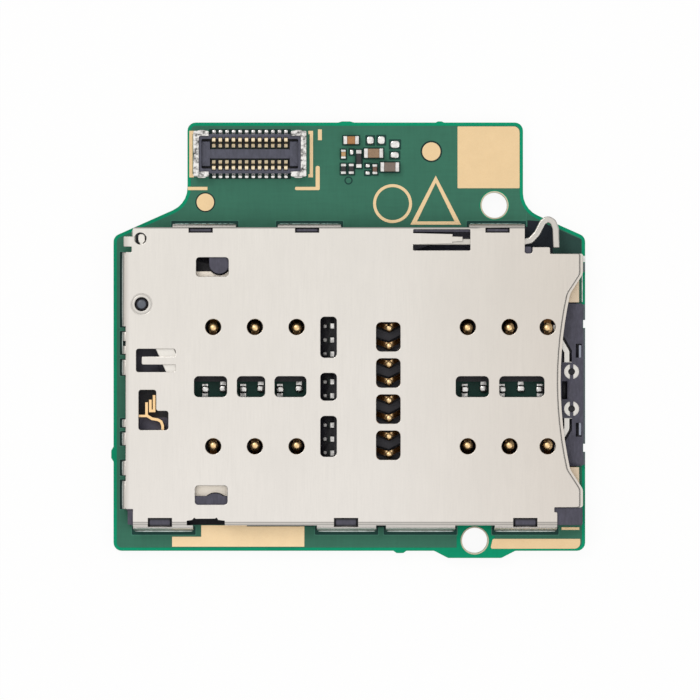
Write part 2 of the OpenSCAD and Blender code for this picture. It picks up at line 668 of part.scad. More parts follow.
function rod_path() = [
    [post[0] + fork_w / 2 + 0.1, rod_y], [rail_x1, rod_y], [mouth_x - 3.12, rod_y + 0.08],
    [mouth_x - 2.72, rod_y + 0.5], [mouth_x - 2.36, rod_y + 1.19], [mouth_x - 2.04, rod_y + 1.4],
    [mouth_x - 1.72, rod_y + 1.2], [mouth_x - 1.58, rod_y + 0.79], [mouth_x - 1.54, rod_y - 0.37]];
module push_rod()
    color("whitesmoke") raised(rod_z, gear_top) difference() {
        union() {
            polygon(strip(softened(rod_path(), 0.25), rod_w));
            translate([post[0], 0])
                pane(-fork_w / 2 - 0.22, fork_w / 2 + 0.22, rod_y - 0.46, fork_end + 0.2, 0.12);
        }
        translate([post[0], 0]) pane(-fork_w / 2, fork_w / 2, rod_y - 1, fork_end, 0.1);
    }

function lever_side(across, along) =
    post + along * [sin(lever_lean), -cos(lever_lean)] + across * [cos(lever_lean), sin(lever_lean)];
module eject_lever()
    color("whitesmoke") raised(lever_z, gear_top) difference() {
        union() {
            translate(post) circle(0.56);
            // Upper arm and its rounded head
            translate(post) polygon([
                [-0.32, 0], [0.32, 0], [0.12, lever_reach * 0.7], [0.12, lever_reach],
                [-0.12, lever_reach], [-0.12, lever_reach * 0.7]]);
            translate([post[0], head_y])
                pane(-lever_head_w / 2, lever_head_w / 2, -head_half, head_half, lever_head_w / 2 - 0.01);
            // Lower arm that meets the tray
            polygon(rounded([
                concat(lever_side(-0.33, 0), 0), concat(lever_side(-0.33, lever_low), 0.3),
                concat(lever_side(0.6, lever_low), 0.4), concat(lever_side(0.78, 2.4), 0.8),
                concat(lever_side(0.5, 0), 0)]));
        }
        translate(post) circle(d = bearing_d + 2 * running_gap);
    }

// Tray switch

switch_t = 0.16;
switch_h = 0.6;
module detect_spring()
    color("goldenrod") raised(slab_top, slab_top + switch_h) translate(post) {
        polygon(strip(softened([
            [0.29, -5.98], [0.29, -6.78], [0.62, -6.98], [0.98, -7.04], [1.18, -7.16],
            [1.27, -7.41], [1.27, -8.16]], 0.12), switch_t));
        pane(-0.21, 0.3, -6.88, -6.74, 0);
    }
module detect_contact()
    color("goldenrod") raised(slab_top, slab_top + switch_h) translate(post) {
        pane(0.44, 0.44 + switch_t, -6.58, -5.82, 0);
        pane(0.44, 0.83, -6.58, -6.58 + switch_t, 0);
        pane(0.83 - switch_t, 0.83, -6.58, -5.54, 0);
    }

// Card contacts

// Plan of a contact that leans to +y, with its tail grown by grow
module card_plan(x, tail_x, grow, reach) {
    pane(tail_x - tail_w / 2 - grow, tail_x + tail_w / 2 + grow, tail_start - grow, 1.35 + grow, 0);
    pane(min(x - spring_w / 2, tail_x - tail_w / 2) - grow,
        max(x + spring_w / 2, tail_x + tail_w / 2) + grow, 1 - grow, 1.6 + grow, 0);
    polygon([
        [x - spring_w / 2 - grow, 1.2], [x + spring_w / 2 + grow, 1.2],
        [x + spring_w * 0.4 + grow, reach], [x - spring_w * 0.4 - grow, reach]]);
}
function card_profile() =
    let (row = card_row_gap / 2, h = crest_h - spring_t / 2)
    softened([
        [tail_start, top + spring_t / 2], [0.75, top + spring_t / 2],
        [1, top + root_h], [1.6, top + root_h],
        [row - 0.25, top + h], [row + 0.15, top + h], [row + 0.5, top + h - 0.4]], 0.2);
module tip_dome(ball, rise)
    intersection() {
        translate([0, 0, rise - ball]) sphere(r = ball);
        translate([-1, -1, -spring_t / 2]) cube([2, 2, 1]);
    }
module card_contact(x, tail_x, s)
    color("gold") translate([0, card_y, 0]) mirror([0, s > 0 ? 0 : 1, 0]) {
        intersection() {
            translate([0, 0, top - 1]) linear_extrude(4) card_plan(x, tail_x, 0, card_row_gap / 2 + 0.6);
            translate([x - 3, 0, 0]) rotate([90, 0, 90])
                linear_extrude(6) polygon(strip(card_profile(), spring_t));
        }
        translate([x, card_row_gap / 2 - 0.05, top + crest_h - spring_t / 2])
            tip_dome(tip_ball, 0.19);
    }

// Memory contacts

module memory_contact(i)
    color("gold") {
        raised(top + lead_h - spring_t / 2, top + lead_h + spring_t / 2)
            polygon(strip(lead_path(i), memory_w));
        slab(lead_x - spring_t / 2, lead_x + spring_t / 2,
            lead_tail(i) - memory_w / 2, lead_tail(i) + memory_w / 2, top, top + lead_h);
        intersection() {
            raised(top, ceiling) polygon(strip(memory_path(i), memory_w));
            side_view(memory_tip(i), 4) polygon(strip(softened([
                [memory_x - 1.59, top + lead_h], [memory_x - 1.29, top + lead_h],
                [memory_x - 0.15, top + crest_h - 0.1], [memory_x + 0.15, top + crest_h - 0.1],
                [memory_x + 1.01, top + 0.4]], 0.15), spring_t));
        }
        translate([memory_x, memory_tip(i), top + crest_h - 0.1]) tip_dome(memory_ball, 0.14);
    }

// Board connector

module pin_places()
    for (i = [0:pins_per_row - 1])
        translate([connector_x - pin_row / 2 + i * pin_pitch, connector_y, 0]) children();
module connector_housing()
    color("dimgray") difference() {
        union() {
            raised(top, top + connector_h) difference() {
                translate([connector_x, connector_y])
                    pane(-connector_w / 2, connector_w / 2, -half_d, half_d, 0.12);
                translate([connector_x, connector_y])
                    pane(-connector_w / 2 + 0.3, connector_w / 2 - 0.3, -half_d + 0.3, half_d - 0.3, 0.1);
            }
            raised(top, top + connector_h * 0.3) translate([connector_x, connector_y])
                pane(-connector_w / 2 + 0.1, connector_w / 2 - 0.1, -half_d + 0.1, half_d - 0.1, 0.1);
            raised(top, top + connector_h * 0.75) translate([connector_x, connector_y]) {
                pane(-tongue_w / 2, tongue_w / 2, -0.29, 0.29, 0.08);
                for (s = [-1, 1]) translate([s * (tongue_w / 2 + 0.26), 0])
                    pane(-0.28, 0.28, -half_d + 0.44, half_d - 0.44, 0.05);
            }
        }
        pin_places() for (s = [0, 1]) mirror([0, s, 0]) {
            slab(-pin_room, pin_room, 0.33, half_d - pin_wall, top - 1, top + connector_h + 1);
            slab(-pin_room, pin_room, half_d - 0.3, half_d + 1, top - 1, top + pin_t + fit_gap);
        }
    }
function pin_profile() =
    let (h = connector_h - 0.06)
    softened([
        [half_d + 0.24, top + pin_t / 2], [half_d - 0.25, top + pin_t / 2], [half_d - 0.25, top + h],
        [half_d - 0.43, top + h], [half_d - 0.43, top + 0.16], [0.47, top + 0.16],
        [0.42, top + h - 0.14], [0.57, top + h - 0.02]], 0.06);
module connector_contacts()
    color("gold") pin_places() for (s = [0, 1]) mirror([0, s, 0])
        translate([-pin_w / 2, 0, 0]) rotate([90, 0, 90]) linear_extrude(pin_w)
            polygon(strip(pin_profile(), pin_t));
module clip_outline()
    pane(connector_w / 2 - 0.75, connector_w / 2 + clip_reach,
        -half_d - clip_reach, half_d + clip_reach, 0.1);
module connector_clip(s)
    color("silver") translate([connector_x, connector_y, 0]) mirror([s > 0 ? 0 : 1, 0, 0]) {
        raised(top, clip_z + clip_t) difference() {
            clip_outline();
            pane(connector_w / 2 - 1.5, connector_w / 2 + fit_gap,
                -half_d - fit_gap, half_d + fit_gap, 0.1);
        }
        raised(clip_z, clip_z + clip_t) difference() {
            clip_outline();
            pane(connector_w / 2 - 1.5, connector_w / 2 - 0.14, -half_d + 0.12, half_d - 0.12, 0.1);
        }
    }
module connector_clip_left() connector_clip(-1);
module connector_clip_right() connector_clip(1);

// Chip parts as [x, depth below the upper edge, length, width, turn, height share]

capacitors = [
    [0.18, 1.09, 0.95, 0.5, 0, 1], [1.55, 1.89, 1.17, 0.58, 0, 1.1], [2.54, 2.73, 1.15, 0.58, 0, 1.1],
    [-0.29, 1.94, 0.56, 0.3, 90, 0.6], [1.63, 2.86, 0.62, 0.3, 90, 0.6]
];
resistors = [
    [-0.29, 2.84, 0.64, 0.32, 90, 0.55], [0.19, 2.84, 0.64, 0.32, 90, 0.55],
    [0.65, 2.23, 1.1, 0.34, 90, 0.7]
];
bare_pads = [
    [1.35, 1.09, 0.45, 0.49], [2.02, 1.08, 0.46, 0.51], [2.86, 1.34, 0.59, 0.47], [2.84, 1.99, 0.54, 0.4],
    [0.21, 1.81, 0.24, 0.34], [1.19, 2.64, 0.3, 0.24], [1.19, 3.09, 0.3, 0.23]
];
module chip_place(c) translate([chips_x + c[0], neck_y - c[1], top]) rotate(c[4]) children();
module chip_body(c)
    chip_place(c) linear_extrude(chip_h * c[5] - 0.02)
        square([c[2] - 2 * min(chip_end, c[2] * 0.27), c[3] - 0.03], center = true);
module chip_caps(c)
    chip_place(c) for (s = [-1, 1]) let (e = min(chip_end, c[2] * 0.27))
        translate([s * (c[2] - e) / 2, 0]) linear_extrude(chip_h * c[5])
            pane(-e / 2, e / 2, -c[3] / 2, c[3] / 2, 0.04);
module capacitor_bodies() color("tan") for (c = capacitors) chip_body(c);
module resistor_bodies() color("dimgray") for (c = resistors) chip_body(c);
module chip_ends() color("silver") for (c = concat(capacitors, resistors)) chip_caps(c);
module solder_pads()
    color("silver") for (p = bare_pads) translate([chips_x + p[0], neck_y - p[1], top]) {
        linear_extrude(0.05) pane(-p[2] / 2, p[2] / 2, -p[3] / 2, p[3] / 2, 0.06);
        linear_extrude(0.1) pane(-p[2] / 3, p[2] / 3, -p[3] / 3, p[3] / 3, 0.06);
    }

circuit_board();
gold_pads();
reader_shell();
contact_base();
floor_plate();
mouth_spring();
push_rod();
eject_lever();
detect_spring();
detect_contact();
for (i = [0:2]) {
    card_contact(card_a[i], tails_a1[i], 1);
    card_contact(card_a[i], tails_a0[i], -1);
    card_contact(card_b[i], tails_b1[i], 1);
    card_contact(card_b[i], tails_b0[i], -1);
}
for (i = [0:7])
    memory_contact(i);
connector_housing();
connector_contacts();
connector_clip_left();
connector_clip_right();
capacitor_bodies();
resistor_bodies();
chip_ends();
solder_pads();
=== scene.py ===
import math
import bpy
from mathutils import Matrix, Vector


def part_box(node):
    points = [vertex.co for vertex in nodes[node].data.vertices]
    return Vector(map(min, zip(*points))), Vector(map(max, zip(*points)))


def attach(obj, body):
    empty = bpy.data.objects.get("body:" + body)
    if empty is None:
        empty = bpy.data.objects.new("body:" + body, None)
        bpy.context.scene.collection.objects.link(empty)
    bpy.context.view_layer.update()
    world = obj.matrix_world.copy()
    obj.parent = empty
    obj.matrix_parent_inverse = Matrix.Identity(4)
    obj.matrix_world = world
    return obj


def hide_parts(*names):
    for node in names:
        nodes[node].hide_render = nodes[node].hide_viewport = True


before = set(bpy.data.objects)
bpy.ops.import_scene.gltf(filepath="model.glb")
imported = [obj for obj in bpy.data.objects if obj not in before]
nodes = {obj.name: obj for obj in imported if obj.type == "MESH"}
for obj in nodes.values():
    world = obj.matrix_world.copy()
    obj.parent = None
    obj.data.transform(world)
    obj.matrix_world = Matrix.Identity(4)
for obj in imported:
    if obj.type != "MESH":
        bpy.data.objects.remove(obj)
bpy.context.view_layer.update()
mm = 0.001  # pieces are modelled in millimetres and settled to metres
print("frame loaded:", len(nodes), "nodes")

# camera, lamps and floor

viewSetup = {"across": 42.68, "centre": (0.11, -0.63), "level": 1.6, "lens": 300.0, "clip": (0.01, 10)}
lampSetup = {"zenith": 1.0, "horizon": 0.1, "rise": (0.05, 0.85), "skyTint": (1.0, 0.985, 0.96),
             "key": {"place": (-0.16, 0.2, 0.34), "size": 0.16, "power": 0.34, "tint": (1, 0.98, 0.95)},
             "fill": {"place": (0.24, -0.16, 0.3), "size": 0.22, "power": 0.12, "tint": (0.95, 0.97, 1)}}
floorSetup = {"size": 600.0, "drop": 0.02, "glow": 0.92, "white": 0.95, "roughness": 0.8}

scene = bpy.context.scene
scene.view_settings.view_transform = "Standard"
cameraData = bpy.data.cameras.new("topCamera")
cameraData.lens = viewSetup["lens"]
cameraData.clip_start, cameraData.clip_end = viewSetup["clip"]
camera = bpy.data.objects.new("topCamera", cameraData)
cameraRise = viewSetup["across"] * viewSetup["lens"] / cameraData.sensor_width + viewSetup["level"]
camera.location = (viewSetup["centre"][0] * mm, viewSetup["centre"][1] * mm, cameraRise * mm)
scene.collection.objects.link(camera)
scene.camera = camera


def clearSelection():
    if bpy.context.object and bpy.context.object.mode != "OBJECT":
        bpy.ops.object.mode_set(mode="OBJECT")
    bpy.ops.object.select_all(action="DESELECT")


def addLamp(name, place, size, power, tint):
    lamp = bpy.data.lights.new(name, "AREA")
    lamp.shape, lamp.size, lamp.energy, lamp.color = "DISK", size, power, tint
    holder = bpy.data.objects.new(name, lamp)
    holder.location = place
    holder.rotation_euler = (-Vector(place)).to_track_quat("-Z", "Y").to_euler()
    scene.collection.objects.link(holder)


def makeWorld():
    world = bpy.data.worlds.new("studio")
    scene.world = world
    world.use_nodes = True
    tree = world.node_tree
    ground = tree.nodes["Background"]
    coords = tree.nodes.new("ShaderNodeTexCoord")
    split = tree.nodes.new("ShaderNodeSeparateXYZ")
    ramp = tree.nodes.new("ShaderNodeMapRange")
    ramp.inputs["From Min"].default_value, ramp.inputs["From Max"].default_value = lampSetup["rise"]
    ramp.inputs["To Min"].default_value = lampSetup["horizon"]
    ramp.inputs["To Max"].default_value = lampSetup["zenith"]
    tree.links.new(coords.outputs["Generated"], split.inputs[0])
    tree.links.new(split.outputs["Z"], ramp.inputs["Value"])
    tree.links.new(ramp.outputs["Result"], ground.inputs["Strength"])
    ground.inputs["Color"].default_value = lampSetup["skyTint"] + (1,)


def makeFloor():
    clearSelection()
    bpy.ops.mesh.primitive_plane_add(size=floorSetup["size"] * mm, location=(0, 0, -floorSetup["drop"] * mm))
    floor = bpy.context.object
    floor.name = "studioFloor"
    material = bpy.data.materials.new("floorWhite")
    material.use_nodes = True
    tree = material.node_tree
    shader = tree.nodes["Principled BSDF"]
    shader.inputs["Base Color"].default_value = (floorSetup["white"],) * 3 + (1,)
    shader.inputs["Roughness"].default_value = floorSetup["roughness"]
    glow = tree.nodes.new("ShaderNodeEmission")
    path = tree.nodes.new("ShaderNodeLightPath")
    seen = path.outputs["Is Camera Ray"]
    for ray in ("Is Glossy Ray", "Is Transmission Ray"):
        either = tree.nodes.new("ShaderNodeMath")
        either.operation = "MAXIMUM"
        tree.links.new(seen, either.inputs[0])
        tree.links.new(path.outputs[ray], either.inputs[1])
        seen = either.outputs[0]
    share = tree.nodes.new("ShaderNodeMath")
    share.operation = "MULTIPLY"
    share.inputs[1].default_value = floorSetup["glow"]
    mix = tree.nodes.new("ShaderNodeMixShader")
    tree.links.new(seen, share.inputs[0])
    tree.links.new(share.outputs[0], mix.inputs["Fac"])
    tree.links.new(shader.outputs[0], mix.inputs[1])
    tree.links.new(glow.outputs[0], mix.inputs[2])
    tree.links.new(mix.outputs[0], tree.nodes["Material Output"].inputs["Surface"])
    floor.data.materials.append(material)


makeWorld()
makeFloor()
addLamp("keyLamp", **lampSetup["key"])
addLamp("fillLamp", **lampSetup["fill"])
print("stage ready")

# material helpers, all patterns in millimetres of object space


class Finish:
    def __init__(self, name, metallic=0.0, roughness=0.5, specular=0.5):
        self.material = bpy.data.materials.new(name)
        self.material.use_nodes = True
        self.tree = self.material.node_tree
        self.shader = self.tree.nodes["Principled BSDF"]
        self.shader.inputs["Metallic"].default_value = metallic
        self.shader.inputs["Roughness"].default_value = roughness
        self.shader.inputs["Specular IOR Level"].default_value = specular
        coords = self.tree.nodes.new("ShaderNodeTexCoord")
        toMm = self.tree.nodes.new("ShaderNodeMapping")
        toMm.inputs["Scale"].default_value = (1 / mm,) * 3
        self.link(coords.outputs["Object"], toMm.inputs["Vector"])
        self.place = toMm.outputs["Vector"]

    def link(self, output, socket):
        self.tree.links.new(output, socket)

    def noise(self, scale, stretch=(1, 1, 1), detail=3.0, roughness=0.55):
        mapping = self.tree.nodes.new("ShaderNodeMapping")
        mapping.inputs["Scale"].default_value = stretch
        self.link(self.place, mapping.inputs["Vector"])
        noise = self.tree.nodes.new("ShaderNodeTexNoise")
        noise.inputs["Scale"].default_value = scale
        noise.inputs["Detail"].default_value = detail
        noise.inputs["Roughness"].default_value = roughness
        self.link(mapping.outputs["Vector"], noise.inputs["Vector"])
        return noise.outputs["Fac"]

    def ramp(self, value, stops):
        ramp = self.tree.nodes.new("ShaderNodeValToRGB")
        elements = ramp.color_ramp.elements
        while len(elements) < len(stops):
            elements.new(0.5)
        for element, (at, color) in zip(elements, stops):
            element.position = at
            element.color = tuple(color) + (1,)
        self.link(value, ramp.inputs["Fac"])
        return ramp.outputs["Color"]

    def span(self, value, low, high, fromLow=0.3, fromHigh=0.7):
        span = self.tree.nodes.new("ShaderNodeMapRange")
        span.inputs["From Min"].default_value = fromLow
        span.inputs["From Max"].default_value = fromHigh
        span.inputs["To Min"].default_value = low
        span.inputs["To Max"].default_value = high
        self.link(value, span.inputs["Value"])
        return span.outputs["Result"]

    def mixColor(self, fac, first, second, kind="MIX"):
        mix = self.tree.nodes.new("ShaderNodeMix")
        mix.data_type = "RGBA"
        mix.blend_type = kind
        self.link(fac, mix.inputs["Factor"])
        for source, socket in ((first, mix.inputs["A"]), (second, mix.inputs["B"])):
            if isinstance(source, tuple):
                socket.default_value = source + (1,)
            else:
                self.link(source, socket)
        return mix.outputs["Result"]

    def combine(self, first, second, kind="ADD"):
        maths = self.tree.nodes.new("ShaderNodeMath")
        maths.operation = kind
        for source, socket in ((first, maths.inputs[0]), (second, maths.inputs[1])):
            if isinstance(source, (int, float)):
                socket.default_value = source
            else:
                self.link(source, socket)
        return maths.outputs[0]

    def upward(self):
        normal = self.tree.nodes.new("ShaderNodeNewGeometry")
        split = self.tree.nodes.new("ShaderNodeSeparateXYZ")
        self.link(normal.outputs["Normal"], split.inputs[0])
        return self.combine(split.outputs["Z"], 0.0, "ABSOLUTE")

    def axis(self, letter):
        split = self.tree.nodes.new("ShaderNodeSeparateXYZ")
        self.link(self.place, split.inputs[0])
        return split.outputs[letter]

    def below(self, letter, limit, soft=0.01):
        return self.span(self.axis(letter), 1.0, 0.0, limit - soft, limit + soft)

    def within(self, letter, middle, reach, soft=0.03):
        offset = self.combine(self.combine(self.axis(letter), -middle), 0.0, "ABSOLUTE")
        return self.span(offset, 1.0, 0.0, reach - soft, reach + soft)

    def patch(self, x, y, reachX, reachY, soft=0.03):
        return self.combine(self.within("X", x, reachX, soft), self.within("Y", y, reachY, soft), "MULTIPLY")

    def color(self, output):
        self.link(output, self.shader.inputs["Base Color"])

    def rough(self, output):
        self.link(output, self.shader.inputs["Roughness"])

    def bump(self, height, depth, strength):
        bump = self.tree.nodes.new("ShaderNodeBump")
        bump.inputs["Strength"].default_value = strength
        bump.inputs["Distance"].default_value = depth * mm
        self.link(height, bump.inputs["Height"])
        self.link(bump.outputs["Normal"], self.shader.inputs["Normal"])


def scaled(color, factor):
    return tuple(min(1.0, c * factor) for c in color)


def rolledSteel(name, tint, roughness, lineDepth=0.004, warm=0.04, toneAndLightDrift=(), creaseShade=(), rings=(),
                slopeShade=None, slate=None, tinnedAndShaded=()):
    steel = Finish(name, metallic=1.0, roughness=roughness)
    lines = steel.noise(14.0, stretch=(1.0, 0.05, 1.0), detail=4)  # rolling lines run along y
    cloud = steel.noise(0.35, stretch=(1, 0.6, 1), detail=3)
    speck = steel.noise(9.0, detail=2)
    base = steel.ramp(lines, [(0.3, scaled(tint, 1 - warm)), (0.7, scaled(tint, 1 + warm * 0.6))])
    base = steel.mixColor(steel.span(cloud, 0.0, 0.5), base, scaled(tint, 0.94))
    base = steel.mixColor(steel.span(speck, 0.0, 0.12, 0.55, 0.75), base, scaled(tint, 0.8))
    for letter, start, end, share in toneAndLightDrift:  # colour graded along an axis; on the shell darker towards +x and towards the left edge, lighter towards -y, with a painted teal reflection of the board on the left feet; on the floor painted light
        base = steel.mixColor(steel.span(steel.axis(letter), 0.0, 1.0, start, end), base, share, "MULTIPLY")
    # painted shade: dark lines along the creases of the bends, on the flat faces only
    for letter, place, reach, share in creaseShade:
        flat = steel.span(steel.upward(), 0, 1, 0.97, 0.99)
        line = steel.combine(steel.within(letter, place, reach, 0.02), flat, "MULTIPLY")
        base = steel.mixColor(line, base, scaled(tint, share))
    for x, y, radius, reach, share in rings:  # painted shade lines on the coined ring round the post
        acrossX, acrossY = steel.combine(steel.axis("X"), -x), steel.combine(steel.axis("Y"), -y)
        squares = [steel.combine(across, across, "MULTIPLY") for across in (acrossX, acrossY)]
        offset = steel.combine(steel.combine(steel.combine(*squares), 0.5, "POWER"), -radius)
        line = steel.span(steel.combine(offset, 0.0, "ABSOLUTE"), 1.0, 0.0, reach, reach + 0.03)
        base = steel.mixColor(line, base, scaled(tint, share))
    if slopeShade:  # painted shade: the metal is darker where it slopes
        fromX, share = slopeShade
        middle, near, far = 0.56, 0.14, 0.26
        slope = steel.combine(steel.combine(steel.upward(), -middle), 0.0, "ABSOLUTE")
        slope = steel.combine(steel.span(slope, 1.0, 0.0, near, far), steel.below("X", fromX), "SUBTRACT")
        base = steel.mixColor(steel.combine(slope, 0.0, "MAXIMUM"), base, scaled(tint, share))
    for letter, place, reach, share in tinnedAndShaded:  # darkened bands, for solder-wetted steel and for painted shade in a bend
        base = steel.mixColor(steel.within(letter, place, reach), base, (share,) * 3, "MULTIPLY")
    if slate:  # painted reflection: the part in the slot is painted with the dark inside that it reflects
        fromX, middle, reach, shade = slate
        slot = steel.combine(steel.below("X", fromX), steel.within("Y", middle, reach), "MAXIMUM")
        base = steel.mixColor(slot, shade, base)
    steel.color(base)
    steel.rough(steel.span(lines, roughness - 0.05, roughness + 0.07))
    steel.bump(steel.combine(lines, steel.combine(speck, 0.4, "MULTIPLY")), lineDepth, 0.6)
    return steel.material


def mouldedPlastic(name, tint, roughness, floorLevel, innerLevel, innerEnd, grain=0.006, clear=(), post=None,
                   lugRimShade=(), lugLevel=1.9):
    plastic = Finish(name, roughness=roughness, specular=0.4)
    fibre = plastic.noise(7.0, stretch=(1.0, 0.35, 1.0), detail=4)
    fine = plastic.noise(22.0, detail=3)
    base = plastic.ramp(fibre, [(0.3, scaled(tint, 0.8)), (0.5, tint), (0.72, scaled(tint, 1.3))])
    base = plastic.mixColor(plastic.span(fine, 0, 0.35, 0.5, 0.75), base, scaled(tint, 1.45))
    # painted shade: the deep floors of the moulding are painted near black
    inner = plastic.combine(plastic.below("Z", innerLevel), plastic.below("X", innerEnd), "MULTIPLY")
    deepShade = plastic.combine(plastic.below("Z", floorLevel), inner, "MAXIMUM")
    deepShadeColour = plastic.ramp(fibre, [(0.35, scaled(tint, 0.14)), (0.7, scaled(tint, 0.3))])
    # patches where the painted shade is lighter
    for x, y, reachX, reachY, share in clear:
        deepShadeColour = plastic.mixColor(plastic.patch(x, y, reachX, reachY), deepShadeColour, scaled(tint, share))
    if post:  # painted shade in a dark ring round the post
        x, y, reach, level = post
        ring = plastic.combine(plastic.patch(x, y, reach, reach), plastic.below("Z", level), "MULTIPLY")
        deepShade = plastic.combine(deepShade, ring, "MAXIMUM")
    for x, y, halfX, halfY, rim in lugRimShade:  # painted shade along the rims of the lugs in the bend windows, standing in for their rounding
        window = plastic.patch(x, y, halfX + rim, halfY + rim)
        core = plastic.patch(x, y, halfX - rim, halfY - rim, rim)
        edge = plastic.combine(window, plastic.span(core, 0, 1, 0.35, 0.85), "SUBTRACT")
        edge = plastic.combine(edge, plastic.below("Z", lugLevel), "SUBTRACT")
        base = plastic.mixColor(plastic.combine(edge, 0.0, "MAXIMUM"), base, scaled(tint, 0.2))
    plastic.color(plastic.mixColor(deepShade, base, deepShadeColour))
    plastic.rough(plastic.span(fine, roughness - 0.08, roughness + 0.1))
    plastic.bump(plastic.combine(fine, plastic.combine(fibre, 0.5, "MULTIPLY")), grain, 0.7)
    return plastic.material


def platedGold(name, tint, roughness, pits=0.004, lift=None):
    gold = Finish(name, metallic=1.0, roughness=roughness)
    cloud = gold.noise(1.6, detail=4)
    fine = gold.noise(16.0, detail=3)
    base = gold.ramp(cloud, [(0.3, scaled(tint, 0.975)), (0.7, scaled(tint, 1.02))])
    worn = tuple(c * share for c, share in zip(tint, (0.9, 0.8, 0.68)))
    base = gold.mixColor(gold.span(fine, 0, 0.3, 0.5, 0.8), base, worn)
    if lift:  # one pad is a little lighter than the others
        x, y, share = lift
        corner = gold.combine(gold.below("X", x), gold.below("Y", y), "MULTIPLY")
        base = gold.mixColor(corner, base, share, "MULTIPLY")
    gold.color(base)
    gold.rough(gold.span(fine, roughness - 0.06, roughness + 0.08))
    gold.bump(fine, pits, 0.6)
    return gold.material


def solderedGold(name, tint, tin, letter, middle, reach, roughness, inside=True, darkBelow=None, mottle=0.75,
                 armShade=None, darkenedEnds=None, metallic=1.0):
    spring = Finish(name, metallic=metallic, roughness=roughness)
    cloud = spring.noise(5.0, detail=4)
    fine = spring.noise(20.0, detail=3)
    gold = spring.ramp(cloud, [(0.3, scaled(tint, 0.86)), (0.7, scaled(tint, 1.08))])
    silver = spring.ramp(cloud, [(0.36, scaled(tin, mottle)), (0.6, scaled(tin, 1.08))])
    if armShade:  # painted shade on the lower arms, so that only the tips are bright
        limit, soft, shade = armShade
        gold = spring.mixColor(spring.below("Z", limit, soft), gold, shade)
    wetted = spring.within(letter, middle, reach)  # solder has run up the tail
    base = spring.mixColor(wetted, gold, silver) if inside else spring.mixColor(wetted, silver, gold)
    if darkenedEnds:  # the leads are darkened below an x
        base = spring.mixColor(spring.below("X", darkenedEnds, 0.02), base, scaled(tin, 0.05))
    if darkBelow:  # the deep parts of the contacts lie in shade
        deep = spring.combine(spring.below("Z", darkBelow, 0.06), wetted, "MULTIPLY")
        base = spring.mixColor(deep, base, scaled(tint, 0.07))
    spring.color(base)
    spring.rough(spring.span(fine, roughness - 0.06, roughness + 0.1))
    spring.bump(fine, 0.004, 0.6)
    return spring.material


def solderMask(name, tint, deep, core, specular=0.22):
    mask = Finish(name, roughness=0.45, specular=specular)
    weaveX = mask.noise(5.0, stretch=(1.0, 0.12, 1.0), detail=2)
    weaveY = mask.noise(5.0, stretch=(0.12, 1.0, 1.0), detail=2)
    cloud = mask.noise(0.5, detail=3)
    fine = mask.noise(18.0, detail=2)
    base = mask.ramp(mask.combine(mask.combine(weaveX, weaveY), 0.5, "MULTIPLY"),
                     [(0.35, scaled(tint, 0.93)), (0.5, tint), (0.68, scaled(tint, 1.06))])
    base = mask.mixColor(mask.span(cloud, 0.0, 0.4), base, deep)
    layers = mask.noise(9.0, stretch=(0.08, 0.08, 1.6), detail=2)  # laminate plies show on the sawn edge
    edge = mask.ramp(layers, [(0.35, scaled(core, 0.7)), (0.65, core)])
    base = mask.mixColor(mask.span(mask.upward(), 0.0, 1.0, 0.4, 0.6), edge, base)
    mask.color(base)
    mask.rough(mask.span(fine, 0.4, 0.52))
    mask.bump(mask.combine(fine, mask.combine(weaveX, weaveY)), 0.002, 0.4)
    return mask.material


def brightTin(name, tint, roughness, mottle=0.72, size=4.0):
    tin = Finish(name, metallic=1.0, roughness=roughness)
    cloud = tin.noise(size, detail=4)
    fine = tin.noise(18.0, detail=3)
    tin.color(tin.ramp(cloud, [(0.34, scaled(tint, mottle)), (0.55, tint), (0.75, scaled(tint, 1.1))]))
    tin.rough(tin.span(fine, roughness - 0.08, roughness + 0.12))
    tin.bump(tin.combine(cloud, tin.combine(fine, 0.3, "MULTIPLY")), 0.02, 0.7)
    return tin.material


def firedCeramic(name, tint, dark, others=()):
    ceramic = Finish(name, roughness=0.38, specular=0.5)
    grain = ceramic.noise(26.0, detail=3)
    cloud = ceramic.noise(3.0, detail=3)
    base = ceramic.ramp(grain, [(0.3, dark), (0.6, tint), (0.8, scaled(tint, 1.2))])
    for x, y, reach, shade in others:  # each chip comes from its own batch
        other = ceramic.ramp(grain, [(0.3, scaled(shade, 0.75)), (0.6, shade), (0.8, scaled(shade, 1.2))])
        base = ceramic.mixColor(ceramic.patch(x, y, reach, reach), base, other)
    ceramic.color(ceramic.mixColor(ceramic.span(cloud, 0.0, 0.25), base, dark))
    ceramic.rough(ceramic.span(grain, 0.3, 0.5))
    ceramic.bump(grain, 0.004, 0.6)
    return ceramic.material


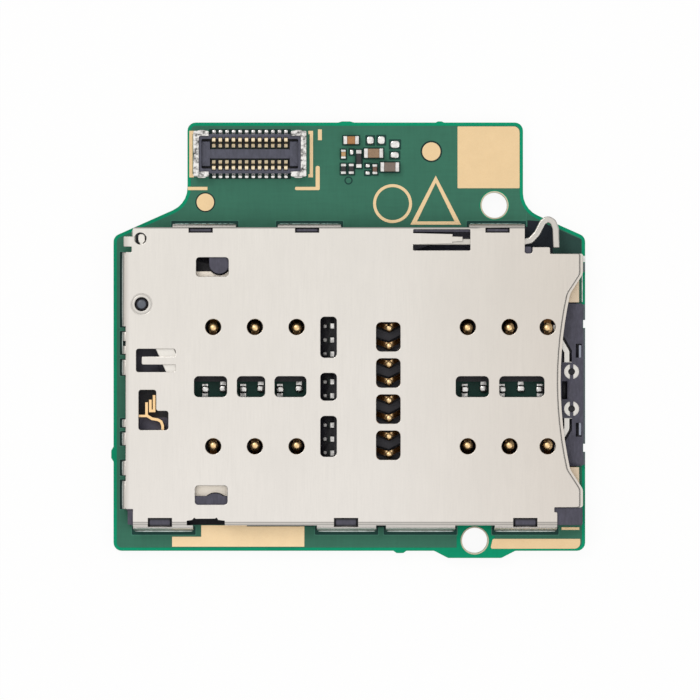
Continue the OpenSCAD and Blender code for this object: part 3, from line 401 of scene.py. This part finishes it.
shades = {
    "shell": (0.745, 0.718, 0.682), "floorSteel": (0.68, 0.56, 0.42), "spring": (0.74, 0.72, 0.69),
    "slate": (0.30, 0.32, 0.39), "rod": (0.61, 0.585, 0.55), "lever": (0.80, 0.775, 0.735),
    "plastic": (0.062, 0.06, 0.088), "housing": (0.066, 0.068, 0.098), "post": (0.105, 0.12, 0.15),
    "maskBright": (0.0, 0.315, 0.16), "maskDeep": (0.0, 0.25, 0.125), "core": (0.30, 0.40, 0.22),
    "pour": (0.036, 0.170, 0.110), "pourDeep": (0.030, 0.140, 0.092), "frameTeal": (0.002, 0.050, 0.041),
    "frameEdgeHighlight": (0.055, 0.215, 0.150), "hookShadowTeal": (0.016, 0.062, 0.052), "edgeGrey": (0.15, 0.18, 0.20),
    "wellAndShadowTeal": (0.003, 0.030, 0.026), "openingAndShadeTeal": (0.004, 0.052, 0.040), "navy": (0.009, 0.015, 0.025),
    "laminate": (0.62, 0.57, 0.43), "padGold": (0.80, 0.60, 0.355), "springGold": (1.0, 0.68, 0.36),
    "armShadeGold": (0.40, 0.175, 0.055), "pinGold": (0.95, 0.79, 0.55), "tin": (0.80, 0.79, 0.78),
    "wetTin": (0.22, 0.33, 0.31), "runTin": (0.54, 0.63, 0.61), "brown": (0.34, 0.215, 0.125),
    "brownDeep": (0.22, 0.135, 0.08), "black": (0.02, 0.018, 0.022), "rust": (0.44, 0.19, 0.055),
    "tan": (0.56, 0.34, 0.15), "grey": (0.20, 0.155, 0.13), "umber": (0.17, 0.085, 0.06),
}
chipTints = [(0.18, 12.18, 0.5, shades["rust"]), (2.54, 10.54, 0.6, shades["grey"]),
             (-0.29, 11.33, 0.34, shades["tan"]), (1.63, 10.41, 0.34, shades["umber"])]
# graded colour, partly painted light, shade and reflection: axis, from, to, share; painted crease shade, and darkened
# bands for solder and for painted shade: axis, place, reach, share
# painted shade lines of the coined ring: x, y, radius, reach, share; painted shade on slopes: from x, share; painted
# reflection in the slot: from x, middle y, reach, colour
shellMarks = {
    "toneAndLightDrift": [("X", 2.0, 13.0, (0.90, 0.875, 0.85)), ("Y", 3.0, -11.0, (1.05, 1.05, 1.06)),
              ("X", -13.3, -13.65, (0.74, 0.725, 0.71)), ("X", -13.62, -13.8, (0.38, 0.46, 0.45))],
    "creaseShade": [("Y", -11.125, 0.02, 0.5), ("Y", -11.245, 0.015, 0.42), ("Y", 6.81, 0.045, 0.42)],
    "rings": [(-12.58, 2.16, 0.6, 0.012, 0.62), (-12.58, 2.16, 0.46, 0.006, 0.8)],
    "slopeShade": (12.6, 0.45), "tinnedAndShaded": [("Y", 6.99, 0.16, 0.6), ("Y", -11.21, 0.13, 0.76)],
}
# painted light: the floor is lighter towards -x, where it shows in the windows
floorMarks = {"toneAndLightDrift": [("X", -2.9, -3.1, (1.35, 1.51, 1.79))]}
springMarks = {"slopeShade": (12.0, 0.5), "slate": (13.9, -3.07, 1.8, shades["slate"])}
# patches of lighter painted shade: x, y, two reaches, share; painted shade ring round the post: x, y, reach, level;
# painted shade on the lug rims: x, y, two half sizes, rim
insulatorMarks = {
    "clear": [(-11.85, -5.12, 0.9, 0.38, 1.7), (-12.1, -1.26, 1.1, 0.8, 0.8), (2.46, -3.08, 0.9, 4.4, 0.32),
              (5.7, 6.1, 1.9, 0.8, 0.7)],
    "post": (-12.58, 2.16, 0.55, 2.1),
    "lugRimShade": [(x, -11.125, 0.735, 0.255, 0.1) for x in (-11.47, -0.14, 10.79)]
    + [(x, 6.675, 0.735, 0.135, 0.06) for x in (-8.99, -2.51, 9.1)],
}


def tintedMask(name, shade, deepShare):
    return solderMask(name, shades[shade], scaled(shades[shade], deepShare), shades[shade])


shellSteel = rolledSteel("shellSteel", shades["shell"], 0.42, **shellMarks)
floorSteel = rolledSteel("floorSteel", shades["floorSteel"], 0.36, **floorMarks)
springSteel = rolledSteel("springSteel", shades["spring"], 0.3, **springMarks)
rodSteel = rolledSteel("rodSteel", shades["rod"], 0.36)
leverSteel = rolledSteel("leverSteel", shades["lever"], 0.4)
insulatorBlack = mouldedPlastic("insulatorBlack", shades["plastic"], 0.5, floorLevel=1.16, innerLevel=1.27,
                                innerEnd=12.3, **insulatorMarks)
housingBlack = mouldedPlastic("housingBlack", shades["housing"], 0.48, floorLevel=1.05, innerLevel=1.06, innerEnd=20.0)
postGrey = mouldedPlastic("postGrey", shades["post"], 0.36, floorLevel=0.0, innerLevel=0.0, innerEnd=-50.0)
maskGreen = solderMask("maskGreen", shades["maskBright"], shades["maskDeep"], shades["core"], specular=0.1)
pourGreen = solderMask("pourGreen", shades["pour"], shades["pourDeep"], shades["pour"])
frameGreen = tintedMask("frameGreen", "frameTeal", 0.6)
# dark sheets round the chips and in the tail windows: mask openings darkened further as painted shade
openingAndShadeGreen = tintedMask("openingAndShadeGreen", "openingAndShadeTeal", 0.6)
# mask openings, and sheets of painted shadow
wellAndShadowGreen = tintedMask("wellAndShadowGreen", "wellAndShadowTeal", 0.5)
navyMask = tintedMask("navyMask", "navy", 0.7)
# painted highlight along the rims of the mask openings
frameEdgeHighlight = tintedMask("frameEdgeHighlight", "frameEdgeHighlight", 0.85)
# painted shadow of the shell beside the hook
hookShadowTeal = tintedMask("hookShadowTeal", "hookShadowTeal", 0.8)
edgeGrey = tintedMask("edgeGrey", "edgeGrey", 0.75)
bareLaminate = tintedMask("bareLaminate", "laminate", 0.85)
padGold = platedGold("padGold", shades["padGold"], 0.42, lift=(2.0, -11.0, (1.11, 1.14, 1.2)))
springGold = platedGold("springGold", shades["springGold"], 0.24)
# the contact arms below the tips are painted in shade
cardGold = solderedGold("cardGold", shades["springGold"], shades["tin"], letter="Y", middle=-2.86, reach=0.85,
                        roughness=0.34, mottle=0.45, armShade=(1.76, 0.08, shades["armShadeGold"]))
memoryGold = solderedGold("memoryGold", shades["springGold"], shades["tin"], letter="X", middle=-1.5, reach=1.0,
                          roughness=0.3, mottle=0.6, armShade=(1.72, 0.06, shades["armShadeGold"]), darkenedEnds=-1.08)
pinGold = solderedGold("pinGold", shades["pinGold"], shades["tin"], letter="Y", middle=11.34, reach=1.1,
                       roughness=0.42, inside=False, darkBelow=1.15, metallic=0.5)
tinPlate = brightTin("tinPlate", shades["tin"], 0.24)
clipTin = brightTin("clipTin", shades["tin"], 0.34, mottle=0.12, size=4.5)
dullTin = brightTin("dullTin", scaled(shades["tin"], 0.42), 0.34)
footTin = brightTin("footTin", shades["wetTin"], 0.3, mottle=0.25, size=6.0)
runTin = brightTin("runTin", shades["runTin"], 0.2)
tailTin = brightTin("tailTin", scaled(shades["tin"], 1.08), 0.24, mottle=0.62, size=3.5)
solderTin = brightTin("solderTin", scaled(shades["tin"], 1.08), 0.16)
ceramicBrown = firedCeramic("ceramicBrown", shades["brown"], shades["brownDeep"], chipTints)
ceramicBlack = firedCeramic("ceramicBlack", shades["black"], scaled(shades["black"], 0.5))
print("materials ready:", len(bpy.data.materials))

nodeFinishes = {
    "circuit_board": maskGreen, "gold_pads": padGold, "reader_shell": shellSteel, "contact_base": insulatorBlack,
    "floor_plate": floorSteel, "mouth_spring": springSteel, "push_rod": rodSteel, "eject_lever": leverSteel,
    "connector_housing": housingBlack, "connector_clip_left": clipTin, "connector_clip_right": clipTin,
    "capacitor_bodies": ceramicBrown, "resistor_bodies": ceramicBlack, "chip_ends": tinPlate,
    "solder_pads": solderTin, "connector_contacts": pinGold, "detect_spring": springGold, "detect_contact": springGold,
}
for nodeName, node in nodes.items():
    finish = nodeFinishes.get(nodeName, memoryGold if nodeName.startswith("memory") else cardGold)
    if not node.material_slots:
        node.data.materials.append(finish)
    for materialSlot in node.material_slots:
        materialSlot.material = finish

# modelling helpers, sizes in millimetres and angles in degrees
shaping = {"levelSlack": 0.002, "weldReach": 0.0004, "flatLimit": 0.99995, "sharpAngle": 35.0, "cutReach": 1.0}
smoothing = {"sheet": 30.0, "skin": 32.0, "bead": 60.0}


def takeUp(piece):
    clearSelection()
    piece.select_set(True)
    bpy.context.view_layer.objects.active = piece


def selectNothing(kind):
    bpy.ops.object.mode_set(mode="EDIT")
    bpy.ops.mesh.select_mode(type=kind)
    bpy.ops.mesh.select_all(action="DESELECT")


def meshBox(piece):
    places = [vert.co for vert in piece.data.vertices]
    return [min(co[i] for co in places) for i in range(3)], [max(co[i] for co in places) for i in range(3)]


def settle(piece, finish, body, smooth):
    takeUp(piece)
    piece.data.materials.clear()
    piece.data.materials.append(finish)
    bpy.ops.object.shade_smooth_by_angle(angle=math.radians(smooth))
    piece.scale = (mm, mm, mm)
    bpy.ops.object.transform_apply(location=True, rotation=True, scale=True)
    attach(piece, body)
    return piece


def settleMask(piece, finish):
    return settle(piece, finish, "board", smoothing["sheet"])


def settleSolder(piece, finish):
    return settle(piece, finish, "board", smoothing["bead"])


def crispFlats(piece):
    # flat sheet stays flat where it runs into a bend
    takeUp(piece)
    selectNothing("FACE")
    bpy.ops.object.mode_set(mode="OBJECT")
    for polygon in piece.data.polygons:
        polygon.select = max(abs(c) for c in polygon.normal) > shaping["flatLimit"]
    bpy.ops.object.mode_set(mode="EDIT")
    bpy.ops.mesh.region_to_loop()
    bpy.ops.mesh.mark_sharp()
    bpy.ops.object.mode_set(mode="OBJECT")


def applyAll(piece):
    takeUp(piece)
    for modifier in list(piece.modifiers):
        bpy.ops.object.modifier_apply(modifier=modifier.name)


def chamferMouth(piece, edgeX, level, width):
    # the stepped lip of the mouth gets a sloped edge
    selectNothing("VERT")
    bpy.ops.object.mode_set(mode="OBJECT")
    for vert in piece.data.vertices:
        vert.select = vert.co.x > edgeX and abs(vert.co.z - level) < shaping["levelSlack"]
    bpy.ops.object.mode_set(mode="EDIT")
    bpy.ops.transform.translate(value=(-width, 0, 0))
    bpy.ops.object.mode_set(mode="OBJECT")


def weighRims(piece, level, lowY, highY):
    # only the upper rims are broken, not the bends
    selectNothing("EDGE")
    bpy.ops.mesh.edges_select_sharp(sharpness=math.radians(shaping["sharpAngle"]))
    bpy.ops.object.mode_set(mode="OBJECT")
    verts, lowest = piece.data.vertices, level - shaping["levelSlack"]
    for edge in piece.data.edges:
        ends = [verts[i].co for i in edge.vertices]
        edge.select = edge.select and all(co.z > lowest and lowY < co.y < highY for co in ends)
    bpy.ops.object.mode_set(mode="EDIT")
    bpy.ops.transform.edge_bevelweight(value=1.0)
    bpy.ops.object.mode_set(mode="OBJECT")


def keepInside(piece, low, high):
    for vert in piece.data.vertices:
        vert.co = [min(max(c, a), b) for c, a, b in zip(vert.co, low, high)]


def roundedCopy(nodeName, pieceName, width, segments):
    piece = bpy.data.objects.new(pieceName, nodes[nodeName].data.copy())
    scene.collection.objects.link(piece)
    piece.data.transform(Matrix.Scale(1 / mm, 4))
    takeUp(piece)
    bpy.ops.object.mode_set(mode="EDIT")
    bpy.ops.mesh.select_all(action="SELECT")
    bpy.ops.mesh.remove_doubles(threshold=shaping["weldReach"])
    bpy.ops.object.mode_set(mode="OBJECT")
    low, high = meshBox(piece)
    if nodeName == "reader_shell":
        chamferMouth(piece, mouthLip["from"], shellTop, mouthLip["chamfer"])
    if nodeName in rimBands:
        weighRims(piece, *rimBands[nodeName])
    edges = piece.modifiers.new("edges", "BEVEL")
    edges.width, edges.segments = width, segments
    edges.limit_method = "WEIGHT" if nodeName in rimBands else "ANGLE"
    edges.angle_limit = math.radians(shaping["sharpAngle"])
    edges.use_clamp_overlap = False
    edges.loop_slide = False
    applyAll(piece)
    keepInside(piece, low, high)
    return piece


def outlineSheet(pieceName, points, low, high, corner=0.0, cornerSteps=4):
    clearSelection()
    bpy.ops.mesh.primitive_circle_add(vertices=len(points), fill_type="NGON")
    sheet = bpy.context.object
    sheet.name = pieceName
    for vert, (x, y) in zip(sheet.data.vertices, points):
        vert.co = (x, y, low)
    bpy.ops.object.mode_set(mode="EDIT")
    bpy.ops.mesh.select_all(action="SELECT")
    if corner:
        bpy.ops.mesh.bevel(offset=corner, segments=cornerSteps, affect="VERTICES")
        bpy.ops.mesh.select_all(action="SELECT")
    bpy.ops.mesh.extrude_region_move(TRANSFORM_OT_translate={"value": (0, 0, high - low)})
    bpy.ops.mesh.select_all(action="SELECT")
    bpy.ops.mesh.normals_make_consistent(inside=False)
    bpy.ops.object.mode_set(mode="OBJECT")
    return sheet


def roundedPoints(points, steps=6):
    turned = []
    for i, (x, y, radius) in enumerate(points):
        here = Vector((x, y))
        back = (Vector(points[i - 1][:2]) - here).normalized()
        ahead = (Vector(points[(i + 1) % len(points)][:2]) - here).normalized()
        half = back.angle(ahead) / 2
        start, end = here + back * radius / math.tan(half), here + ahead * radius / math.tan(half)
        middle = here + (back + ahead).normalized() * radius / math.sin(half)
        for k in range(steps + 1):
            spoke = (start - middle).lerp(end - middle, k / steps).normalized()
            turned.append(tuple(middle + spoke * radius))
    return turned


def boxPoints(x0, x1, y0, y1):
    return [(x0, y0), (x1, y0), (x1, y1), (x0, y1)]


def circlePoints(x, y, radius, steps=40):
    turns = [2 * math.pi * i / steps for i in range(steps)]
    return [(x + radius * math.cos(turn), y + radius * math.sin(turn)) for turn in turns]


def cutAway(piece, cutter):
    clearSelection()
    cut = piece.modifiers.new("cut", "BOOLEAN")
    cut.operation, cut.object, cut.solver = "DIFFERENCE", cutter, "EXACT"
    applyAll(piece)
    bpy.data.objects.remove(cutter)


def joined(pieceName, parts):
    clearSelection()
    for part in parts:
        part.select_set(True)
    bpy.context.view_layer.objects.active = parts[0]
    if len(parts) > 1:
        bpy.ops.object.join()
    parts[0].name = pieceName
    return parts[0]


# levels of the frame, in millimetres
def topOf(nodeName):
    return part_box(nodeName)[1][2] / mm


boardTop = topOf("circuit_board")
shellTop = topOf("reader_shell")
sheetFoot = boardTop - 0.002  # thin sheets are sunk a little into the board


def maskSheet(points, high, corner=0.0, cornerSteps=4):
    return outlineSheet("sheet", points, sheetFoot, high, corner, cornerSteps)


def cutSheet(points, corner=0.0):
    return outlineSheet("cut", points, boardTop - shaping["cutReach"], boardTop + shaping["cutReach"], corner)


# copper under the mask stands a little above the bare laminate, the neck corners are where it meets the shoulders
copperPour = {"rise": 0.018, "sink": 0.004, "corner": 0.3, "neckFillet": 1.7, "neckCorners": (3, 6),
              "outline": [(-14.14, -12.7), (14.28, -12.7), (14.28, 6.17), (10.48, 7.86), (10.48, 13.07),
                          (-9.62, 13.07), (-9.62, 8.18), (-14.14, 6.17)],
              "holeRing": 0.92, "upperHole": (8.94, 8.22), "lobe": (6.62, 8.95, -13.4, -11.2), "lobeCorner": 0.1}


def makePour():
    v = copperPour
    points = [(x, y, v["neckFillet"] if i in v["neckCorners"] else v["corner"])
              for i, (x, y) in enumerate(v["outline"])]
    pour = outlineSheet("copperPour", roundedPoints(points), boardTop - v["sink"], boardTop + v["rise"])
    cutAway(pour, cutSheet(circlePoints(*v["upperHole"], v["holeRing"])))
    cutAway(pour, cutSheet(boxPoints(*v["lobe"]), v["lobeCorner"]))
    settleMask(pour, pourGreen)


makePour()
print("copper pour done")

# dark openings in the mask round the soldered feet, painted shadows beside some of them, and painted highlights along
# their rims
padFrames = {"rise": 0.021, "margin": 0.13, "edge": 0.05, "edgeRise": 0.0195, "corner": 0.06, "cornerSteps": 3,
             "top": [(-10.68, -6.84), (-4.28, -0.44), (7.37, 10.74)], "topBand": (6.8, 7.26),
             "bottom": [(-13.09, -9.46), (-1.9, 1.7), (2.3, 6.51), (8.92, 12.72)], "bottomBand": (-11.92, -11.4),
             "rear": [(0.81, 5.3), (-0.87, 0.47), (-2.15, -1.23), (-5.32, -4.86), (-6.42, -5.66), (-8.25, -7.39),
                      (-10.3, -8.61)], "rearBand": (-13.96, -13.5), "shadows": [(1.76, 2.24, -11.46, -11.2)],
             "lines": [(9.2, 10.9, 7.29, 7.33), (10.86, 10.9, 7.31, 7.75)]}


def makeFrames():
    v = padFrames
    m, e = v["margin"], v["edge"]
    high, edgeHigh = boardTop + v["rise"], boardTop + v["edgeRise"]
    rounding = (v["corner"], v["cornerSteps"])
    parts = [(x0 - m, x1 + m, *v["topBand"]) for x0, x1 in v["top"]]
    parts += [(x0 - m, x1 + m, *v["bottomBand"]) for x0, x1 in v["bottom"]]
    rear = [(*v["rearBand"], y0 - m / 2, y1 + m / 2) for y0, y1 in v["rear"]]
    for pieceName, group, finish in (("padFrames", parts, frameGreen), ("rearFrames", rear + v["shadows"], wellAndShadowGreen)):
        sheets = [maskSheet(boxPoints(*part), high, *rounding) for part in group]
        settleMask(joined(pieceName, sheets), finish)
    # painted highlight along the outer rims of the openings, and two thin light lines
    rims = [maskSheet(boxPoints(x0 - e, x1 + e, y0 - e, y1 + e), edgeHigh, *rounding)
            for x0, x1, y0, y1 in parts + rear]
    rims += [maskSheet(boxPoints(*line), high) for line in v["lines"]]
    settleMask(joined("frameRimHighlights", rims), frameEdgeHighlight)


makeFrames()
print("pad frames done")

# flat patches of the board that differ from the pour, some of them painted shadow and painted highlight
boardPatches = {
    "rise": 0.022,
    "tailWindows": [(-9.38, -7.38), (-6.77, -5.06), (-4.48, -2.55), (6.55, 8.56), (9.2, 11.94)],
    "tailBand": (-3.49, -2.56), "windowInset": 0.02, "windowCorner": 0.05,
    "hook": [(10.72, 5.1), (12.5, 5.1), (12.5, 6.9), (11.7, 7.24), (10.95, 7.3), (10.95, 6.9), (10.72, 6.9)],
    "hookShadow": [(12.5, 5.1), (14.25, 5.1), (14.25, 6.13), (12.5, 6.9)], "hookCorner": 0.03,
    "edgeStrip": [(14.335, 14.47, 1.2, 2.15), (14.335, 14.47, -6.35, 0.7), (14.335, 14.47, -7.65, -6.87),
                  (14.36, 14.47, 4.16, 4.7)], "stripCorner": 0.02,
    "edgePadAndHighlights": [(14.36, 14.47, 4.74, 5.12), (14.3, 14.345, -7.0, 1.6), (14.28, 14.32, 2.3, 4.1)],
    "padLift": 0.004, "padCorner": 0.015,
    "pinShade": [(-8.5, -3.5, 12.5, 12.86), (-8.5, -3.5, 9.82, 10.18)], "pinCorner": 0.05,
    "plateShade": (-6.2, -2.1, -11.41, -11.2), "plateRise": 0.05, "plateCorner": 0.04,
    "holes": [(8.94, 8.22), (7.73, -12.27)], "rim": (0.86, 0.775),
    "via": (0.02, 9.73, 0.25, 0.17),
    "dots": [(-8.73, 8.4, 0.61), (5.08, 11.5, 0.66)], "dotHole": 0.48, "ringSteps": 48,
}


def ringSheet(x, y, outer, inner, high):
    steps = boardPatches["ringSteps"]
    ring = maskSheet(circlePoints(x, y, outer, steps), high)
    cutAway(ring, cutSheet(circlePoints(x, y, inner, steps)))
    return ring


def makePatches():
    v = boardPatches
    high = boardTop + v["rise"]
    inset = v["windowInset"]
    # dark sheets in the tail windows: mask openings darkened further as painted shade
    windows = [maskSheet(boxPoints(x0 + inset, x1 - inset, *v["tailBand"]), high, v["windowCorner"])
               for x0, x1 in v["tailWindows"]]
    settleMask(joined("windowBoard", windows), openingAndShadeGreen)
    # the navy sheet under the hook, and a painted shadow of the shell beside it
    for pieceName, points, finish in (("hookBoard", v["hook"], navyMask), ("hookShadow", v["hookShadow"], hookShadowTeal)):
        settleMask(joined(pieceName, [maskSheet(points, high, v["hookCorner"])]), finish)
    strips = [maskSheet(boxPoints(*part), high, v["stripCorner"]) for part in v["edgeStrip"]]
    settleMask(joined("edgeStrips", strips), edgeGrey)
    # a small tinned pad, and two thin bright strips that are painted highlights of the bar's edge
    pads = [maskSheet(boxPoints(*part), high + v["padLift"], v["padCorner"]) for part in v["edgePadAndHighlights"]]
    settle(joined("edgePadAndHighlights", pads), tinPlate, "board", smoothing["sheet"])
    shadows = [maskSheet(boxPoints(*part), high, v["pinCorner"]) for part in v["pinShade"]]
    shadows.append(maskSheet(boxPoints(*v["plateShade"]), boardTop + v["plateRise"], v["plateCorner"]))
    settleMask(joined("shadeBoard", shadows), wellAndShadowGreen)
    rims = [ringSheet(x, y, *v["rim"], high) for x, y in v["holes"]]
    settleMask(joined("holeRims", rims), bareLaminate)
    settleMask(joined("viaRing", [ringSheet(*v["via"], high)]), frameGreen)
    marks = [ringSheet(x, y, outer, v["dotHole"], high) for x, y, outer in v["dots"]]
    settleMask(joined("dotRings", marks), wellAndShadowGreen)


makePatches()
print("board patches done")

# bare wells of the mask under the chips, darkened round the chips as painted shade, and the solder in them
chipWells = {
    "edge": 13.27, "margin": 0.08, "rise": 0.024,
    "chips": [(0.18, 1.09, 0.95, 0.5), (1.55, 1.89, 1.17, 0.58), (2.54, 2.73, 1.15, 0.58), (-0.29, 1.94, 0.3, 0.56),
              (1.63, 2.86, 0.3, 0.62), (-0.29, 2.84, 0.32, 0.64), (0.19, 2.84, 0.32, 0.64), (0.65, 2.23, 0.34, 1.1)],
    "bare": [(1.35, 1.09, 0.45, 0.49), (2.02, 1.08, 0.46, 0.51), (2.86, 1.34, 0.59, 0.47), (2.84, 1.99, 0.54, 0.4),
             (0.21, 1.81, 0.24, 0.34), (1.19, 2.64, 0.3, 0.24), (1.19, 3.09, 0.3, 0.23)],
    "corner": 0.05, "cornerSteps": 3, "domeHigh": 0.13,
}
beadSink = 0.02  # solder reaches a little under the face that it sits on


def solderBead(x, y, sizeX, sizeY, high, low=boardTop, soft=0.46):
    clearSelection()
    bpy.ops.mesh.primitive_cube_add(size=1, location=(x, y, low + (high - beadSink) / 2))
    bead = bpy.context.object
    bead.scale = (sizeX, sizeY, high + beadSink)
    bpy.ops.object.transform_apply(location=True, rotation=True, scale=True)
    bpy.ops.object.mode_set(mode="EDIT")
    bpy.ops.mesh.select_all(action="SELECT")
    bpy.ops.mesh.subdivide(number_cuts=1)
    bpy.ops.mesh.select_all(action="SELECT")
    bpy.ops.mesh.vertices_smooth(factor=soft, repeat=2)
    bpy.ops.object.mode_set(mode="OBJECT")
    rounding = bead.modifiers.new("rounding", "SUBSURF")
    rounding.levels = rounding.render_levels = 2
    applyAll(bead)
    shrunkLow, shrunkHigh = meshBox(bead)
    wanted = ((x - sizeX / 2, x + sizeX / 2), (y - sizeY / 2, y + sizeY / 2), (low - beadSink, low + high))
    for vert in bead.data.vertices:  # smoothing shrinks the bead, so it is stretched back to its size
        for i, (start, end) in enumerate(wanted):
            share = (vert.co[i] - shrunkLow[i]) / (shrunkHigh[i] - shrunkLow[i])
            vert.co[i] = start + share * (end - start)
    return bead


def makeWells():
    v = chipWells
    m = v["margin"]
    sheets = []
    for x, deep, w, d in v["chips"] + v["bare"]:
        y = v["edge"] - deep
        points = boxPoints(x - w / 2 - m, x + w / 2 + m, y - d / 2 - m, y + d / 2 + m)
        sheets.append(maskSheet(points, boardTop + v["rise"], v["corner"], v["cornerSteps"]))
    settleMask(joined("chipWells", sheets), openingAndShadeGreen)
    domes = [solderBead(x, v["edge"] - deep, w, d, v["domeHigh"]) for x, deep, w, d in v["bare"]]
    domes = settleSolder(joined("bareDomes", domes), solderTin)
    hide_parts("solder_pads")


makeWells()
print("chip wells done")

# solder along the feet of the shell and on the tails
solderWork = {
    "runHigh": 0.1, "runWide": 0.09, "runSoft": 0.1,
    "wallTop": 7.04, "wallBottom": -11.66, "wallShift": 0.04, "wallTrim": 0.1,
    "wallRear": -13.75, "rearShift": 0.03, "rearTrim": 0.06,
    "tails": [(-7.64, -1), (-5.34, -1), (-3.0, -1), (-8.74, 1), (-6.42, 1), (-4.17, 1),
              (8.26, -1), (10.54, -1), (7.12, 1), (9.39, 1), (11.7, 1)],
    "tailY": -3.02, "tailShift": -0.03, "tailSize": (0.5, 0.48, 0.26),
    "pinStart": -8.2, "pinPitch": 0.4, "pins": 12, "pinY": 11.34, "pinReach": 1.36, "pinSize": (0.26, 0.26, 0.13),
    "clipX": 2.95, "clipY": 1.32, "clipMiddle": -6.0, "clipSize": (0.62, 0.34, 0.17),
    "leadX": -1.42, "leads": [0.83, -0.02, -0.88, -2.57, -3.43, -5.21, -6.07, -6.92],
    "leadLow": 0.94, "leadSize": (0.28, 0.25, 0.06),
}


def footRun(x, y, sizeX, sizeY):
    return solderBead(x, y, sizeX, sizeY, solderWork["runHigh"], soft=solderWork["runSoft"])


def makeSolder():
    v = solderWork
    wide, trim = v["runWide"], v["wallTrim"]
    upper = [footRun((x0 + x1) / 2, v["wallTop"] + v["wallShift"], x1 - x0 - trim, wide)
             for x0, x1 in padFrames["top"]]
    runs = [footRun((x0 + x1) / 2, v["wallBottom"] - v["wallShift"], x1 - x0 - trim, wide)
            for x0, x1 in padFrames["bottom"]]
    runs += [footRun(v["wallRear"] - v["rearShift"], (y0 + y1) / 2, wide, y1 - y0 - v["rearTrim"])
             for y0, y1 in padFrames["rear"]]
    settleSolder(joined("footSolder", runs), runTin)
    settleSolder(joined("upperFootSolder", upper), footTin)
    blobs = [solderBead(x, v["tailY"] + s * v["tailShift"], *v["tailSize"]) for x, s in v["tails"]]
    settleSolder(joined("tailSolder", blobs), tailTin)
    pins = [solderBead(v["pinStart"] + i * v["pinPitch"], v["pinY"] + s * v["pinReach"], *v["pinSize"])
            for i in range(v["pins"]) for s in (-1, 1)]
    pins += [solderBead(v["clipMiddle"] + sx * v["clipX"], v["pinY"] + sy * v["clipY"], *v["clipSize"])
             for sx in (-1, 1) for sy in (-1, 1)]
    settleSolder(joined("connectorSolder", pins), solderTin)
    leads = [solderBead(v["leadX"], y, *v["leadSize"], low=v["leadLow"]) for y in v["leads"]]
    settleSolder(joined("leadSolder", leads), dullTin)


makeSolder()
print("solder done")

# rounded head of the moulded post
postHead = {"place": (-12.58, 2.16, 2.185), "radius": 0.265, "height": 0.055, "segments": 32, "rings": 16}


def makePostHead():
    v = postHead
    clearSelection()
    bpy.ops.mesh.primitive_uv_sphere_add(segments=v["segments"], ring_count=v["rings"], radius=v["radius"],
                                         location=v["place"])
    head = bpy.context.object
    head.name = "postHead"
    head.scale = (1, 1, v["height"] / v["radius"])
    bpy.ops.object.transform_apply(location=True, rotation=True, scale=True)
    settle(head, postGrey, "board", smoothing["bead"])


makePostHead()
print("post head done")

# edges of the floor steel and of the insulator that close the gaps by the lower rail
closingEdges = {"ledge": (-9.6, -7.2, -9.53, -9.24), "ledgeLevels": (1.1, 1.252), "guide": (-8.1, -10.16, 0.84),
                "wall": (-13.43, -13.2, -11.26, -10.36), "wallLevels": (boardTop, 2.07), "wallCorner": 0.05}


def makeClosingEdges():
    v = closingEdges
    ledge = outlineSheet("floorLedge", boxPoints(*v["ledge"]), *v["ledgeLevels"])
    cutAway(ledge, cutSheet(circlePoints(*v["guide"])))
    settle(ledge, floorSteel, "board", smoothing["sheet"])
    wall = outlineSheet("cornerWall", boxPoints(*v["wall"]), *v["wallLevels"], v["wallCorner"])
    settle(wall, insulatorBlack, "board", smoothing["sheet"])


makeClosingEdges()
print("closing edges done")

# softened copies of the stamped and moulded parts
mouthLip = {"from": 12.75, "chamfer": 0.085}
# of these, only rims at or above a level and between two y values are broken
rimBands = {"reader_shell": (shellTop, -10.7, 6.3), "contact_base": (1.9, -20.0, 20.0),
            "connector_housing": (1.3, -20.0, 20.0)}
# node: piece, width, segments, finish, body, slot
edgeBreaks = {
    "reader_shell": ("shellSkin", 0.03, 2, shellSteel, "board", "shell_steel"),
    "contact_base": ("baseSkin", 0.04, 2, insulatorBlack, "board", "insulator"),
    "connector_housing": ("housingSkin", 0.03, 2, housingBlack, "board", "connector_plastic"),
    "floor_plate": ("floorSkin", 0.03, 2, floorSteel, "board", "floor_steel"),
    "push_rod": ("pushRodSkin", 0.08, 3, rodSteel, "rod", "rod_steel"),
    "eject_lever": ("ejectLeverSkin", 0.04, 2, leverSteel, "lever", "rod_steel"),
    "connector_clip_left": ("clipLeftSkin", 0.02, 2, clipTin, "board", "tin_plate"),
    "connector_clip_right": ("clipRightSkin", 0.02, 2, clipTin, "board", "tin_plate"),
    "capacitor_bodies": ("capacitorBlocks", 0.03, 2, ceramicBrown, "board", "ceramic_brown"),
    "resistor_bodies": ("resistorBlocks", 0.025, 2, ceramicBlack, "board", "ceramic_black"),
    "chip_ends": ("chipEndCaps", 0.03, 3, tinPlate, "board", "tin_plate"),
}
for nodeName, (pieceName, width, segments, finish, body, slotName) in edgeBreaks.items():
    skin = roundedCopy(nodeName, pieceName, width, segments)
    settle(skin, finish, body, smoothing["skin"])
    crispFlats(skin)
    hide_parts(nodeName)
    print(pieceName, len(skin.data.polygons), "faces")
